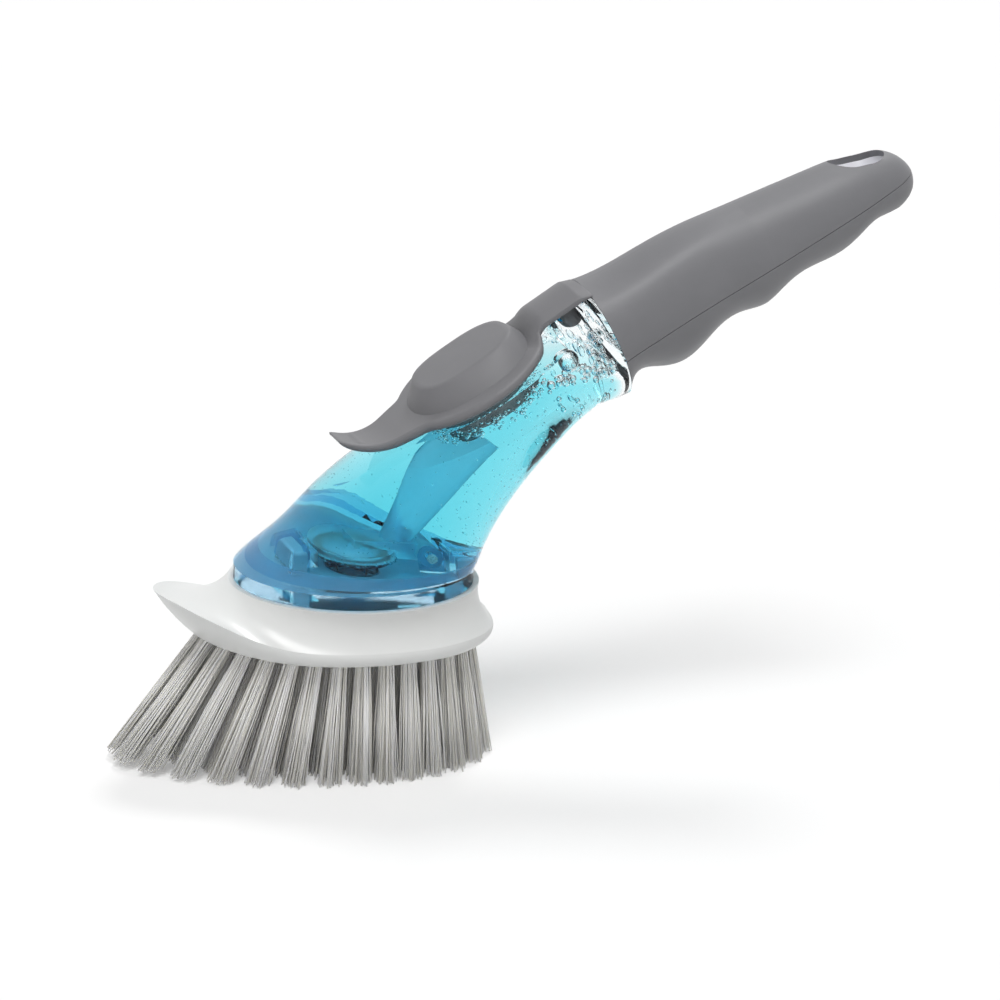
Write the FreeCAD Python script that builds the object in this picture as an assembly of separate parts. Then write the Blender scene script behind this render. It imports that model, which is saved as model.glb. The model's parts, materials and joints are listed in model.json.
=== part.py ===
import FreeCAD, Part
import math
import os

# Dish wand: a bristle head that pulls off, a clear soap reservoir, and a hollow grey handle.
# Lengths are in millimetres and angles in degrees. The origin lies on the plane of the
# bristle tips, under the middle of the reservoir's base. X runs towards the handle, Y is the
# width, Z is up. The whole wand is symmetric about the plane Y = 0.

# General clearances
MOVING_GAP = 0.3          # between pieces that move against each other
FIT_GAP = 0.05            # radial, between pieces that are pressed or plugged together
SEAM_GAP = 0.15           # visible seam between fixed pieces

# Brush head
BRISTLE_LENGTH = 32.5     # from the tips to the underside of the head
HEAD_HEIGHT = 14.5        # underside of the head to the seat of the reservoir
HEAD_HALF_WIDTH = 30.6
SCRAPER_REACH = 53.7      # middle of the head to the tip of the scraper beak
SCRAPER_RISE = 14.2       # underside of the head to the tip of the scraper beak
REAR_REACH = 37.2         # middle of the head to the rear lip
CREST_RISE = 3.8          # underside of the head to the crest of the rim
BEAK_SHARPNESS = 1.72     # exponent of the plan curve in front, 2 is an ellipse
REAR_FULLNESS = 2.3       # exponent of the plan curve at the back
RISE_SHARPNESS = 7.0      # how late the rim starts to climb towards the beak
SOLE_FRONT = 44.0         # underside, reach to the front
SOLE_REAR = 35.4
SOLE_HALF_WIDTH = 29.2
SOLE_SHARPNESS = 1.9      # exponent of the sole's plan curve in front
SOLE_BEND_X = -15.0       # the sole is flat behind this place and bends up in front of it
SOLE_BEND_R = 156.0
COLLAR_WIDTH = 1.4        # how far the head's top stands out round the reservoir's base
FLARE_HOLLOW = 1.6        # depth of the hollow of the flare at the sides
BEAK_HOLLOW = 3.0         # and along the beak
RIM_BULGE = 0.8           # roundness of the rim band at the sides
BEAK_BULGE = 0.6          # and under the beak
HEAD_WALL = 2.4
TOP_WALL = 2.6            # top deck of the head
PLATE_THICKNESS = 6.0     # plate that holds the tufts
PLATE_OUTLET_R = 3.2
SOCKET_DEPTH = 5.0        # tube under the deck that takes the nozzle
CHAMBER_HALF_LENGTH = 27.0
CHAMBER_HALF_WIDTH = 23.5

# Tufts
TUFT_ROOT_R = 1.5
TUFT_TIP_R = 2.35
TUFT_SINK = 4.0           # how deep a tuft is set in the plate
TUFT_EDGE = 2.7           # outer row to the edge of the plate
ROW_STEP = 6.1
TUFT_PITCH = 5.9          # along the outer row
FRONT_SPLAY = 41.0        # lean at the front edge of the sole
REAR_SPLAY = 12.5
SIDE_SPLAY = 7.0
SPLAY_SHARPNESS = 1.6     # how late the lean grows towards the edge
TUFT_ROWS = ("outer_tufts", "second_tufts", "third_tufts", "inner_tufts")

# Reservoir: oval sections that turn from the flat base to the slanting neck
BASE_HALF_LENGTH = 31.9
BASE_HALF_WIDTH = 28.4
BASE_HEIGHT = 3.7         # clear base plate
RESERVOIR_WALL = 2.4
NECK_X = 65.3             # middle of the seam with the handle
NECK_RISE = 62.7          # height of that point over the seat
NECK_HALF_HEIGHT = 17.0
NECK_HALF_WIDTH = 16.0
HANDLE_ANGLE = 27.0       # climb of the handle
# Between base and neck: place of the section on the straight lines from base to neck in front and
# behind, as a share and a distance towards the front; half width; and exponent of the section's
# upper half, where 2 is an ellipse
MIDDLE_SECTIONS = (
    (0.10, -0.1, 0.10, 2.3, 27.2, 2.0),
    (0.22, 0.8, 0.26, 5.2, 26.0, 2.1),
    (0.34, 0.5, 0.43, 6.8, 24.8, 2.3),
    (0.51, -0.8, 0.60, 7.5, 23.6, 2.8),
    (0.665, 3.8, 0.75, 6.8, 22.2, 3.0),
    (0.845, 2.1, 0.89, 4.3, 18.8, 2.4),
)
LIP_HEIGHT = 3.0          # base plate's lip inside the wall
LIP_WALL = 1.6
NOZZLE_R = 6.0
NOZZLE_LENGTH = 8.0
OUTLET_R = 3.4
POCKET_WALL = 1.5
POCKET_RISE = 8.0         # inner height of the pockets over the seat
FRONT_POCKET_X = -15.0
REAR_POCKET_X = 24.4
TONGUE_THICKNESS = 4.0
FRONT_TONGUE_WIDTH = 10.0
REAR_TONGUE_WIDTH = 9.0
TONGUE_GAP = 0.45
SPIGOT_R = 13.0
SPIGOT_LENGTH = 10.5
SPIGOT_WALL = 3.0
SEAL_R = 0.9              # thickness of the round seals, halved

# Lid, in its own slanting frame: the origin is the middle of the filler mouth
LID_ANGLE = 33.5
LID_SETBACK = 37.0        # from the top of the seam with the handle, along the lid
LID_DROP = 7.8            # and square to the lid
DECK_THICKNESS = 2.2
MOUTH_R = 16.2
LID_R = 22.2
LID_THICKNESS = 2.7
LID_ROUND = 1.6           # round of the lid's upper edge
GASKET_THICKNESS = 1.0
GASKET_WIDTH = 2.8
PLUG_GAP = 1.0
PLUG_WALL = 1.6
PLUG_DEPTH = 3.0
STRAP_HALF_WIDTH = 8.5
STRAP_TOP = 8.9           # crest of the strap over the deck
STRAP_SEAT = 5.4          # underside of the strap behind its ramp
STRAP_CORNER = 3.0        # length of the level end in front of the seam
FOLD_S = 23.0             # place of the fold line along the lid
ANCHOR_PLUG_R = 3.5
ANCHOR_PLUG_LENGTH = 8.0
ANCHOR_PLUG_PLACE = 7.0   # behind the fold
TAB_ROOT_R = 10.5         # the tab's plan tapers from this round
TAB_ROOT_S = -21.0
TAB_TIP_R = 3.5           # to this one
TAB_THICKNESS = 2.2
TAB_FLAT = 25.0           # flat stretch of the tab, from the middle of the mouth
TAB_CURL_R = 16.3
TAB_CURL = 56.0
TAB_RIDGE_R = 0.8
TAB_RIDGE_PLACE = 0.72    # place of the finger ridge as a share of the curl

# Push button in the lid
DOME_R = 18.2
DOME_HEIGHT = 4.8         # soft skirt, from the lid's face to the button's edge
CAP_R = 12.6
CAP_THICKNESS = 2.2
CAP_CROWN = 0.8
SHOULDER_R = 4.7          # round of the skirt's shoulder
PLUNGER_S = -8.0          # plunger's place along the lid
PLUNGER_R = 3.5
PLUNGER_REACH = 12.6      # how far the plunger hangs below the mouth
PLUNGER_ROUND = 1.4       # round of the plunger's tip

# Valve lever
PIVOT_X = 16.5
PIVOT_RISE = 7.6
PIN_R = 1.2
HUB_R = 2.8
HUB_HALF_WIDTH = 5.6
EAR_THICKNESS = 2.0
DISC_R = 10.0
DISC_THICKNESS = 2.0
VALVE_SEAL_RING = 7.6
STEM_FOOT_X = 9.0
STEM_FOOT_R = 2.6
STEM_TOP_R = 5.8
STEM_TOP_S = -12.0        # middle of the stem's top, along the lid

# Handle, in its own frame: the origin is the middle of the seam, X runs along the handle
HANDLE_LENGTH = 97.8
HANDLE_WALL = 2.4
END_DROP = 1.2            # the end's tip lies this far below the axis
PARTING_DROP = 3.6        # the two shells meet this far below the axis at the seam
PARTING_TILT = 2.3        # and the parting climbs towards the axis
GROOVE_DEPTH = 1.5        # hollows for the fingers
# (share of the length, top, bottom, half width, 1 at a hollow for a finger)
HANDLE_SECTIONS = (
    (0.0, 17.0, 17.0, 16.0, 0),
    (0.125, 16.2, 15.3, 14.6, 0),
    (0.26, 16.7, 14.8, 13.6, 0),
    (0.385, 16.1, 13.9, 13.3, 1),
    (0.49, 15.0, 13.1, 13.1, 0),
    (0.595, 14.0, 12.1, 12.7, 1),
    (0.70, 13.0, 11.2, 12.1, 0),
    (0.81, 11.8, 9.9, 11.2, 1),
    (0.905, 9.6, 8.4, 9.6, 0),
    (0.96, 6.6, 6.9, 7.4, 0),
    (0.985, 3.6, 5.0, 4.6, 0),
)
HOLLOW_FIRST = 1          # the handle is hollow from this section
HOLLOW_LAST = 9           # to this one, counted from 0
CORE_START = 0.70         # share of the length at which the white core of the rear end starts
SLOT_SETBACK = 13.2       # from the end of the handle to the middle of the hang slot
SLOT_LENGTH = 15.2
SLOT_WIDTH = 12.0

SEAT_Z = BRISTLE_LENGTH + HEAD_HEIGHT
FLOOR_Z = SEAT_Z + MOVING_GAP + BASE_HEIGHT   # top of the reservoir's base plate
V = FreeCAD.Vector
Y_AXIS = V(0, 1, 0)
Z_AXIS = V(0, 0, 1)
HANDLE_FRAME = FreeCAD.Placement(V(NECK_X, 0, SEAT_Z + NECK_RISE),
                                 FreeCAD.Rotation(Y_AXIS, -HANDLE_ANGLE))
SEAM_TOP = HANDLE_FRAME.multVec(V(0, 0, NECK_HALF_HEIGHT))
LID_TURN = FreeCAD.Rotation(Y_AXIS, -LID_ANGLE)
LID_FRAME = FreeCAD.Placement(SEAM_TOP - LID_TURN.multVec(V(LID_SETBACK, 0, LID_DROP)), LID_TURN)
FAR = 400.0               # cutting blocks reach past the whole wand
NEAR = 50.0               # and past the local form


def placed(shape, frame):
    """The shape moved from a local frame to the wand's frame."""
    moved = shape.copy()
    moved.Placement = frame.multiply(moved.Placement)
    return moved


def fused(first, *others):
    return first.fuse(list(others)).removeSplitter()


def block(x0, x1, half_width, z0, z1):
    return Part.makeBox(x1 - x0, 2 * half_width, z1 - z0, V(x0, -half_width, z0))


def rod(radius, z0, z1, x=0.0):
    return Part.makeCylinder(radius, z1 - z0, V(x, 0, z0))


def ring(outer, inner, z0, z1):
    return rod(outer, z0, z1).cut(rod(inner, z0 - 1, z1 + 1))


def extruded_profile(points, half_width):
    """A closed outline in the XZ plane, made as thick as 2 half widths along Y."""
    corners = [V(x, -half_width, z) for x, z in points]
    face = Part.Face(Part.makePolygon(corners + corners[:1]))
    return face.extrude(V(0, 2 * half_width, 0))


def closed_curve(points):
    """Smooth closed wire in two halves, so that a skin through several of them keeps its seams."""
    curve = Part.BSplineCurve()
    curve.interpolate(points, PeriodicFlag=True)
    half = curve.parameter(points[len(points) // 2])
    first = curve.toShape(curve.FirstParameter, half)
    second = curve.toShape(half, curve.LastParameter)
    return Part.Wire([first, second])


def oval_points(centre, up, top, bottom, half_width, fullness=2.0, count=24):
    """Points round an oval in the plane of 'up' and Y, from the top over +Y and back.

    The top and the bottom have their own reach, and a fullness over 2 makes the upper half
    squarer than an ellipse."""
    points = []
    for i in range(count):
        turn = 2 * math.pi * i / count
        c = math.cos(turn)
        s = math.sin(turn)
        power = 2 / fullness if c > 0 else 1.0
        reach = top if c > 0 else bottom
        rise = math.copysign(abs(c) ** power * reach, c)
        side = math.copysign(abs(s) ** power * half_width, s)
        points.append(centre + up * rise + Y_AXIS * side)
    return points


def oval(*sizes):
    return closed_curve(oval_points(*sizes))


def symmetric_skin(rings):
    """Solid through rings of points: a skin over the +Y halves, its mirror image and two ends."""
    halves = [closed_curve(ring).Edges[0] for ring in rings]
    near = Part.makeLoft([Part.Wire([edge]) for edge in halves], False, False)
    far = near.mirror(V(0, 0, 0), Y_AXIS)
    ends = []
    for edge in (halves[0], halves[-1]):
        ends.append(Part.Face(Part.Wire([edge, edge.mirror(V(0, 0, 0), Y_AXIS)])))
    shell = Part.Shell(near.Faces + far.Faces + ends)
    shell.sewShape()
    solid = Part.Solid(shell)
    if solid.Volume < 0:
        solid.reverse()
    return solid


def plan_radius(angle, front, rear, half_width, front_power, rear_power):
    """Distance from the middle to a plan curve that is sharper in front than at the back."""
    c = math.cos(angle)
    s = abs(math.sin(angle))
    reach, power = (rear, rear_power) if c > 0 else (front, front_power)
    return ((abs(c) / reach) ** power + (s / half_width) ** power) ** (-1 / power)


def sole_radius(angle, inset=0.0):
    edge = plan_radius(angle, SOLE_FRONT, SOLE_REAR, SOLE_HALF_WIDTH, SOLE_SHARPNESS, REAR_FULLNESS)
    return edge - inset


def sole_height(x):
    """Height of the head's underside."""
    bend = min(0.0, x - SOLE_BEND_X)
    return BRISTLE_LENGTH + SOLE_BEND_R - math.sqrt(SOLE_BEND_R ** 2 - bend ** 2)


def under_sole():
    """Space below the head's underside."""
    front = -2 * NEAR

    def at(x, z):
        return V(x, -NEAR, z)

    def on_sole(x):
        return at(x, sole_height(x))

    bend = Part.Arc(on_sole(SOLE_BEND_X), on_sole((SOLE_BEND_X + front) / 2), on_sole(front)).toShape()
    outline = Part.Wire([
        Part.makeLine(on_sole(NEAR), on_sole(SOLE_BEND_X)),
        bend,
        Part.makeLine(on_sole(front), at(front, 0)),
        Part.makeLine(at(front, 0), at(NEAR, 0)),
        Part.makeLine(at(NEAR, 0), on_sole(NEAR)),
    ])
    return Part.Face(outline).extrude(V(0, 2 * NEAR, 0))


def sole_prism(inset, z0, z1, count=40):
    points = []
    for i in range(count):
        angle = 2 * math.pi * i / count
        radius = sole_radius(angle, inset)
        points.append(V(radius * math.cos(angle), radius * math.sin(angle), z0))
    return Part.Face(closed_curve(points)).extrude(V(0, 0, z1 - z0))


def oval_prism(half_length, half_width, z0, z1):
    face = Part.Face(oval(V(0, 0, z0), V(1, 0, 0), half_length, half_length, half_width))
    return face.extrude(V(0, 0, z1 - z0))


# Brush head

def head_section(angle):
    """Outline of the head in the upright half plane at one angle round the middle."""
    core = NOZZLE_R / 2
    lean = max(0.0, -math.cos(angle)) ** RISE_SHARPNESS     # 1 at the beak, 0 elsewhere
    rim = plan_radius(angle, SCRAPER_REACH, REAR_REACH, HEAD_HALF_WIDTH, BEAK_SHARPNESS, REAR_FULLNESS)
    collar = plan_radius(angle, BASE_HALF_LENGTH, BASE_HALF_LENGTH, BASE_HALF_WIDTH, 2, 2) + COLLAR_WIDTH
    sole = sole_radius(angle)
    sole_z = sole_height(sole * math.cos(angle))
    inner = sole_radius(angle, HEAD_WALL / 2)
    inner_z = sole_height(inner * math.cos(angle))
    crest = BRISTLE_LENGTH + CREST_RISE + (SCRAPER_RISE - CREST_RISE) * lean
    hollow = FLARE_HOLLOW + (BEAK_HOLLOW - FLARE_HOLLOW) * lean
    bulge = RIM_BULGE + (BEAK_BULGE - RIM_BULGE) * lean

    def at(radius, z):
        return V(radius * math.cos(angle), radius * math.sin(angle), z)

    def bowed(r0, z0, r1, z1, sag):
        """Arc between two points, pushed sideways by 'sag' at its middle."""
        length = math.hypot(r1 - r0, z1 - z0)
        middle_r = (r0 + r1) / 2 + sag * (z1 - z0) / length
        middle_z = (z0 + z1) / 2 - sag * (r1 - r0) / length
        return Part.Arc(at(r0, z0), at(middle_r, middle_z), at(r1, z1)).toShape()

    edges = [
        Part.makeLine(at(core, BRISTLE_LENGTH), at(inner, inner_z)),
        Part.makeLine(at(inner, inner_z), at(sole, sole_z)),
        bowed(sole, sole_z, rim, crest, bulge),
        bowed(rim, crest, collar, SEAT_Z, -hollow),
        Part.makeLine(at(collar, SEAT_Z), at(core, SEAT_Z)),
        Part.makeLine(at(core, SEAT_Z), at(core, BRISTLE_LENGTH)),
    ]
    return Part.Wire(edges)


def head_body():
    """Full outer form of the head, one smooth skin through outlines round the middle."""
    half = [0, 20, 40, 60, 80, 95, 110, 125, 138, 150, 160, 168, 174, 180]    # closer near the beak
    turns = half + [360 - a for a in reversed(half[1:-1])]
    sections = [head_section(math.radians(a)) for a in turns]
    skin = Part.makeLoft(sections, True, False, True)
    return skin.fuse(rod(NOZZLE_R, BRISTLE_LENGTH, SEAT_Z))


def tongue(x, width, seat):
    """Upright tongue of the head that plugs into a pocket of the reservoir's base."""
    top = SEAT_Z + POCKET_RISE - TONGUE_GAP
    body = block(x - TONGUE_THICKNESS / 2, x + TONGUE_THICKNESS / 2, width / 2, seat, top)
    edges = [e for e in body.Edges if abs(e.CenterOfMass.z - top) < 0.01]
    return body.makeFillet(TONGUE_THICKNESS / 4, edges)


def head_shell():
    plate_top = BRISTLE_LENGTH + PLATE_THICKNESS
    deck = SEAT_Z - TOP_WALL
    shell = head_body()
    shell = shell.cut(sole_prism(HEAD_WALL, BRISTLE_LENGTH - 1, plate_top))
    chamber = oval_prism(CHAMBER_HALF_LENGTH, CHAMBER_HALF_WIDTH, plate_top - 1, deck)
    socket_r = NOZZLE_R + MOVING_GAP
    chamber = chamber.cut(rod(socket_r + HEAD_WALL, deck - SOCKET_DEPTH, deck + 1))
    shell = shell.cut(chamber)
    shell = shell.cut(rod(socket_r, deck - SOCKET_DEPTH - 1, SEAT_Z + 1))
    shell = shell.cut(outlet_seal_groove())
    front = tongue(FRONT_POCKET_X, FRONT_TONGUE_WIDTH, SEAT_Z - TOP_WALL / 2)
    rear = tongue(REAR_POCKET_X, REAR_TONGUE_WIDTH, SEAT_Z - TOP_WALL / 2)
    return fused(shell, front, rear)


def outlet_seal_groove():
    middle = SEAT_Z - TOP_WALL / 2 - SOCKET_DEPTH / 2
    reach = NOZZLE_R + MOVING_GAP / 2 + 2 * SEAL_R
    return ring(reach + FIT_GAP, NOZZLE_R, middle - SEAL_R - FIT_GAP, middle + SEAL_R + FIT_GAP)


def outlet_seal():
    middle = SEAT_Z - TOP_WALL / 2 - SOCKET_DEPTH / 2
    return Part.makeTorus(NOZZLE_R + MOVING_GAP / 2 + SEAL_R, SEAL_R, V(0, 0, middle))


def tuft_places():
    """Root point and lean of every tuft, row by row: closed rows that follow the plate's edge."""
    rows = []
    for row in range(len(TUFT_ROWS)):
        inset = HEAD_WALL + TUFT_EDGE + row * ROW_STEP
        fine = 720
        path = []
        for i in range(fine + 1):
            angle = 2 * math.pi * i / fine
            radius = sole_radius(angle, inset)
            path.append((radius * math.cos(angle), radius * math.sin(angle)))
        lengths = [0.0]
        for a, b in zip(path, path[1:]):
            lengths.append(lengths[-1] + math.dist(a, b))
        count = int(lengths[-1] / TUFT_PITCH)
        places = []
        for k in range(count):
            target = lengths[-1] * (k + 0.5 * (row % 2)) / count
            i = next(i for i, length in enumerate(lengths) if length >= target)
            places.append(path[i])
        rows.append([(x, y, tuft_direction(x, y)) for x, y in places])
    return rows


def tuft_direction(x, y):
    """Downward direction of a tuft: the lean grows with the distance from the middle."""
    front_lean = FRONT_SPLAY if x < 0 else REAR_SPLAY
    reach = SOLE_FRONT if x < 0 else SOLE_REAR
    share = abs(x) / reach
    along = math.tan(math.radians(front_lean)) * share ** SPLAY_SHARPNESS * math.copysign(1, x)
    across = math.tan(math.radians(SIDE_SPLAY)) * y / SOLE_HALF_WIDTH
    direction = V(along, across, -1)
    return direction.normalize()


def tuft(x, y, direction):
    """Bundle of bristles: a straight root in the plate and a widening brush cut flat at the tips."""
    sole = V(x, y, sole_height(x))
    length = BRISTLE_LENGTH / -direction.z
    root = Part.makeCylinder(TUFT_ROOT_R, TUFT_SINK, sole - direction * TUFT_SINK, direction)
    spread = (TUFT_TIP_R - TUFT_ROOT_R) / length
    over = 2 * TUFT_TIP_R
    reach = length + over
    brush = Part.makeCone(TUFT_ROOT_R, TUFT_ROOT_R + spread * reach, reach, sole, direction)
    tips = Part.makeBox(FAR, FAR, BRISTLE_LENGTH * 2, V(-FAR / 2, -FAR / 2, sole.z - BRISTLE_LENGTH))
    return root.fuse(brush).common(tips)


def tuft_row(places):
    return Part.makeCompound([tuft(x, y, direction) for x, y, direction in places])


def bristle_plate(rows):
    plate = sole_prism(HEAD_WALL + FIT_GAP, BRISTLE_LENGTH, BRISTLE_LENGTH + PLATE_THICKNESS - FIT_GAP)
    plate = plate.cut(under_sole())
    cuts = [rod(PLATE_OUTLET_R, BRISTLE_LENGTH - 1, SEAT_Z)]
    for places in rows:
        for x, y, direction in places:
            start = V(x, y, sole_height(x)) - direction * (TUFT_SINK + FIT_GAP)
            cuts.append(Part.makeCylinder(TUFT_ROOT_R + FIT_GAP, 2 * TUFT_SINK, start, direction))
    return plate.cut(cuts)


# Reservoir

def beside_line(start, end, share, forward):
    """Point at a share of the line between two points of the plane Y = 0, moved to its front side."""
    along = end - start
    front_side = V(-along.z, 0, along.x).normalize()
    return start + along * share + front_side * forward


def reservoir_rings(inset):
    """Points round the sections from the base to the neck, drawn in by the wall for the inside."""
    base_front = V(-BASE_HALF_LENGTH, 0, FLOOR_Z)
    base_rear = V(BASE_HALF_LENGTH, 0, FLOOR_Z)
    neck_front = HANDLE_FRAME.multVec(V(-inset, 0, NECK_HALF_HEIGHT))
    neck_rear = HANDLE_FRAME.multVec(V(-inset, 0, -NECK_HALF_HEIGHT))
    sections = [(base_front, base_rear, BASE_HALF_WIDTH, 2.0)]
    for front_share, front_side, rear_share, rear_side, half_width, fullness in MIDDLE_SECTIONS:
        front = beside_line(base_front, neck_front, front_share, front_side)
        rear = beside_line(base_rear, neck_rear, rear_share, rear_side)
        sections.append((front, rear, half_width, fullness))
    sections.append((neck_front, neck_rear, NECK_HALF_WIDTH, 2.0))
    rings = []
    for front, rear, half_width, fullness in sections:
        reach = front.distanceToPoint(rear) / 2 - inset
        up = (front - rear).normalize()
        rings.append(oval_points((front + rear) * 0.5, up, reach, reach, half_width - inset, fullness))
    return rings


def reservoir_form(inset=0.0):
    """Solid of the reservoir's outline, or of its inside, which ends a wall short of the seam."""
    return symmetric_skin(reservoir_rings(inset))


def lid_recess(lower=0.0, wider=0.0):
    """Space above the deck, up to the step behind the lid, with the bed of the strap in that step."""
    deck = block(-2 * NEAR, FOLD_S + SEAM_GAP + wider, NEAR, -lower, 2 * NEAR)
    under, _ = lid_levels()
    drop = SEAM_GAP + lower
    front = FOLD_S
    bed = extruded_profile(((front, under - drop), (front + STRAP_SEAT - under, STRAP_SEAT - drop),
                            (2 * NEAR, STRAP_SEAT - drop), (2 * NEAR, 2 * NEAR), (front, 2 * NEAR)),
                           STRAP_HALF_WIDTH + SEAM_GAP + wider)
    return placed(deck.fuse(bed), LID_FRAME)


def reservoir_shell():
    outside = reservoir_form().cut(lid_recess())
    inside = reservoir_form(RESERVOIR_WALL).cut(lid_recess(DECK_THICKNESS, RESERVOIR_WALL))
    shell = outside.cut(inside)
    mouth = placed(rod(MOUTH_R, -2 * DECK_THICKNESS, 1), LID_FRAME)
    anchor_s = FOLD_S + ANCHOR_PLUG_PLACE
    anchor_hole = placed(rod(ANCHOR_PLUG_R + FIT_GAP, -2 * ANCHOR_PLUG_LENGTH, NEAR, anchor_s), LID_FRAME)
    shell = shell.cut([mouth, anchor_hole])
    return fused(shell, spigot())


def spigot():
    """Hollow stub that plugs into the handle, with a groove for its seal."""
    tube = Part.makeCylinder(SPIGOT_R, SPIGOT_LENGTH, V(0, 0, 0), V(1, 0, 0))
    bore = Part.makeCylinder(SPIGOT_R - SPIGOT_WALL, SPIGOT_LENGTH, V(SEAL_R, 0, 0), V(1, 0, 0))
    return placed(tube.cut([bore, neck_ring(FIT_GAP)]), HANDLE_FRAME)


def neck_ring(gap=0.0):
    """Round ring let into the spigot, half way along the handle's collar."""
    middle = V(collar_depth() / 2, 0, 0)
    return Part.makeTorus(SPIGOT_R - SEAL_R, SEAL_R + gap, middle, V(1, 0, 0))


def neck_seal():
    return placed(neck_ring(), HANDLE_FRAME)


def pocket(x, width):
    """Hollow on the base plate that takes a tongue of the head: outer box and inner space."""
    inner_x = TONGUE_THICKNESS / 2 + TONGUE_GAP
    inner_y = width / 2 + TONGUE_GAP
    roof = SEAT_Z + POCKET_RISE
    outer = block(x - inner_x - POCKET_WALL, x + inner_x + POCKET_WALL, inner_y + POCKET_WALL,
                  FLOOR_Z - 1, roof + POCKET_WALL)
    top_edges = [e for e in outer.Edges if abs(e.CenterOfMass.z - roof - POCKET_WALL) < 0.01]
    outer = outer.makeFillet(POCKET_WALL, top_edges)
    inner = block(x - inner_x, x + inner_x, inner_y, SEAT_Z - 1, roof)
    return outer, inner


def lever_ear(side):
    """One of the two ears that carry the lever's pin."""
    inner = HUB_HALF_WIDTH + MOVING_GAP
    outer = inner + EAR_THICKNESS
    pivot_z = SEAT_Z + PIVOT_RISE
    top = Part.makeCylinder(HUB_R, EAR_THICKNESS, V(PIVOT_X, inner, pivot_z), Y_AXIS)
    corner = V(PIVOT_X - HUB_R, inner, FLOOR_Z - 1)
    foot = Part.makeBox(2 * HUB_R, EAR_THICKNESS, pivot_z - corner.z, corner)
    ear = top.fuse(foot)
    if side < 0:
        ear = ear.mirror(V(0, 0, 0), Y_AXIS)
    bore = Part.makeCylinder(PIN_R + FIT_GAP, 4 * outer, V(PIVOT_X, -2 * outer, pivot_z), Y_AXIS)
    return ear.cut(bore)


def reservoir_base():
    plate_bottom = SEAT_Z + MOVING_GAP
    plate = oval_prism(BASE_HALF_LENGTH, BASE_HALF_WIDTH, plate_bottom, FLOOR_Z)
    inner_form = reservoir_form(RESERVOIR_WALL + FIT_GAP)
    lip_space = block(-FAR, FAR, FAR, FLOOR_Z, FLOOR_Z + LIP_HEIGHT)
    lip = inner_form.common(lip_space)
    lip = lip.cut(reservoir_form(RESERVOIR_WALL + FIT_GAP + LIP_WALL))
    front_outer, front_inner = pocket(FRONT_POCKET_X, FRONT_TONGUE_WIDTH)
    rear_outer, rear_inner = pocket(REAR_POCKET_X, REAR_TONGUE_WIDTH)
    nozzle = rod(NOZZLE_R, plate_bottom - NOZZLE_LENGTH, FLOOR_Z)
    body = fused(plate, lip, front_outer, rear_outer, lever_ear(1), lever_ear(-1), nozzle)
    return body.cut([front_inner, rear_inner, rod(OUTLET_R, 0, FLOOR_Z + 1)])


# Lid

def lid_levels():
    """Underside and face of the lid plate over the seat."""
    under = MOVING_GAP + GASKET_THICKNESS
    return under, under + LID_THICKNESS


def tapered_plan(root_x, root_r, tip_x, tip_r):
    """Upright prism whose plan is two rounds on the X axis, joined by their outer tangents."""
    turn = math.asin((root_r - tip_r) / (root_x - tip_x))
    corners = []
    for side in (1, -1):
        outward = V(-math.sin(turn), side * math.cos(turn), 0)
        ends = [V(root_x, 0, -NEAR) + outward * root_r, V(tip_x, 0, -NEAR) + outward * tip_r]
        corners += ends[::side]
    taper = Part.Face(Part.makePolygon(corners + corners[:1])).extrude(V(0, 0, 2 * NEAR))
    return taper.fuse([rod(root_r, -NEAR, NEAR, root_x), rod(tip_r, -NEAR, NEAR, tip_x)])


def tab_form():
    """Tongue in front of the lid: flat, then curled up along an arc, tapering to a rounded end."""
    under, face = lid_levels()
    middle = (under + face) / 2
    centre = V(-TAB_FLAT, -NEAR, middle + TAB_CURL_R)
    half = TAB_THICKNESS / 2

    def on_arc(radius, degrees):
        turn = math.radians(degrees)
        return centre + V(-radius * math.sin(turn), 0, -radius * math.cos(turn))

    lower = TAB_CURL_R + half
    upper = TAB_CURL_R - half
    root_low = V(0, -NEAR, middle - half)
    root_high = V(0, -NEAR, middle + half)
    outline = Part.Wire([
        Part.makeLine(root_low, on_arc(lower, 0)),
        Part.Arc(on_arc(lower, 0), on_arc(lower, TAB_CURL / 2), on_arc(lower, TAB_CURL)).toShape(),
        Part.makeLine(on_arc(lower, TAB_CURL), on_arc(upper, TAB_CURL)),
        Part.Arc(on_arc(upper, TAB_CURL), on_arc(upper, TAB_CURL / 2), on_arc(upper, 0)).toShape(),
        Part.makeLine(on_arc(upper, 0), root_high),
        Part.makeLine(root_high, root_low),
    ])
    strip = Part.Face(outline).extrude(V(0, 2 * NEAR, 0))
    tip = on_arc(lower, TAB_CURL).x + TAB_TIP_R
    inner = block(TAB_ROOT_S, NEAR, TAB_ROOT_R, -NEAR, NEAR)
    tongue_form = strip.common(tapered_plan(TAB_ROOT_S, TAB_ROOT_R, tip, TAB_TIP_R).fuse(inner))
    ridge_middle = on_arc(upper, TAB_CURL * TAB_RIDGE_PLACE)
    ridge_start = V(ridge_middle.x, -TAB_TIP_R, ridge_middle.z)
    ridge = Part.makeCylinder(TAB_RIDGE_R, 2 * TAB_TIP_R, ridge_start, Y_AXIS)
    return tongue_form.fuse(ridge)


def lid_plate():
    under, face = lid_levels()
    disc = rod(LID_R, under, face)
    edge = [e for e in disc.Edges if abs(e.CenterOfMass.z - face) < 0.01 and e.Length > LID_R]
    disc = disc.makeFillet(LID_ROUND, edge)
    strap = block(0, FOLD_S - SEAM_GAP, STRAP_HALF_WIDTH, under, face)
    body = fused(disc, strap, tab_form())
    return placed(body.cut(rod(button_opening(), -NEAR, NEAR)), LID_FRAME)


def button_opening():
    return CAP_R + MOVING_GAP


def plug_outer():
    return MOUTH_R - PLUG_GAP


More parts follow.
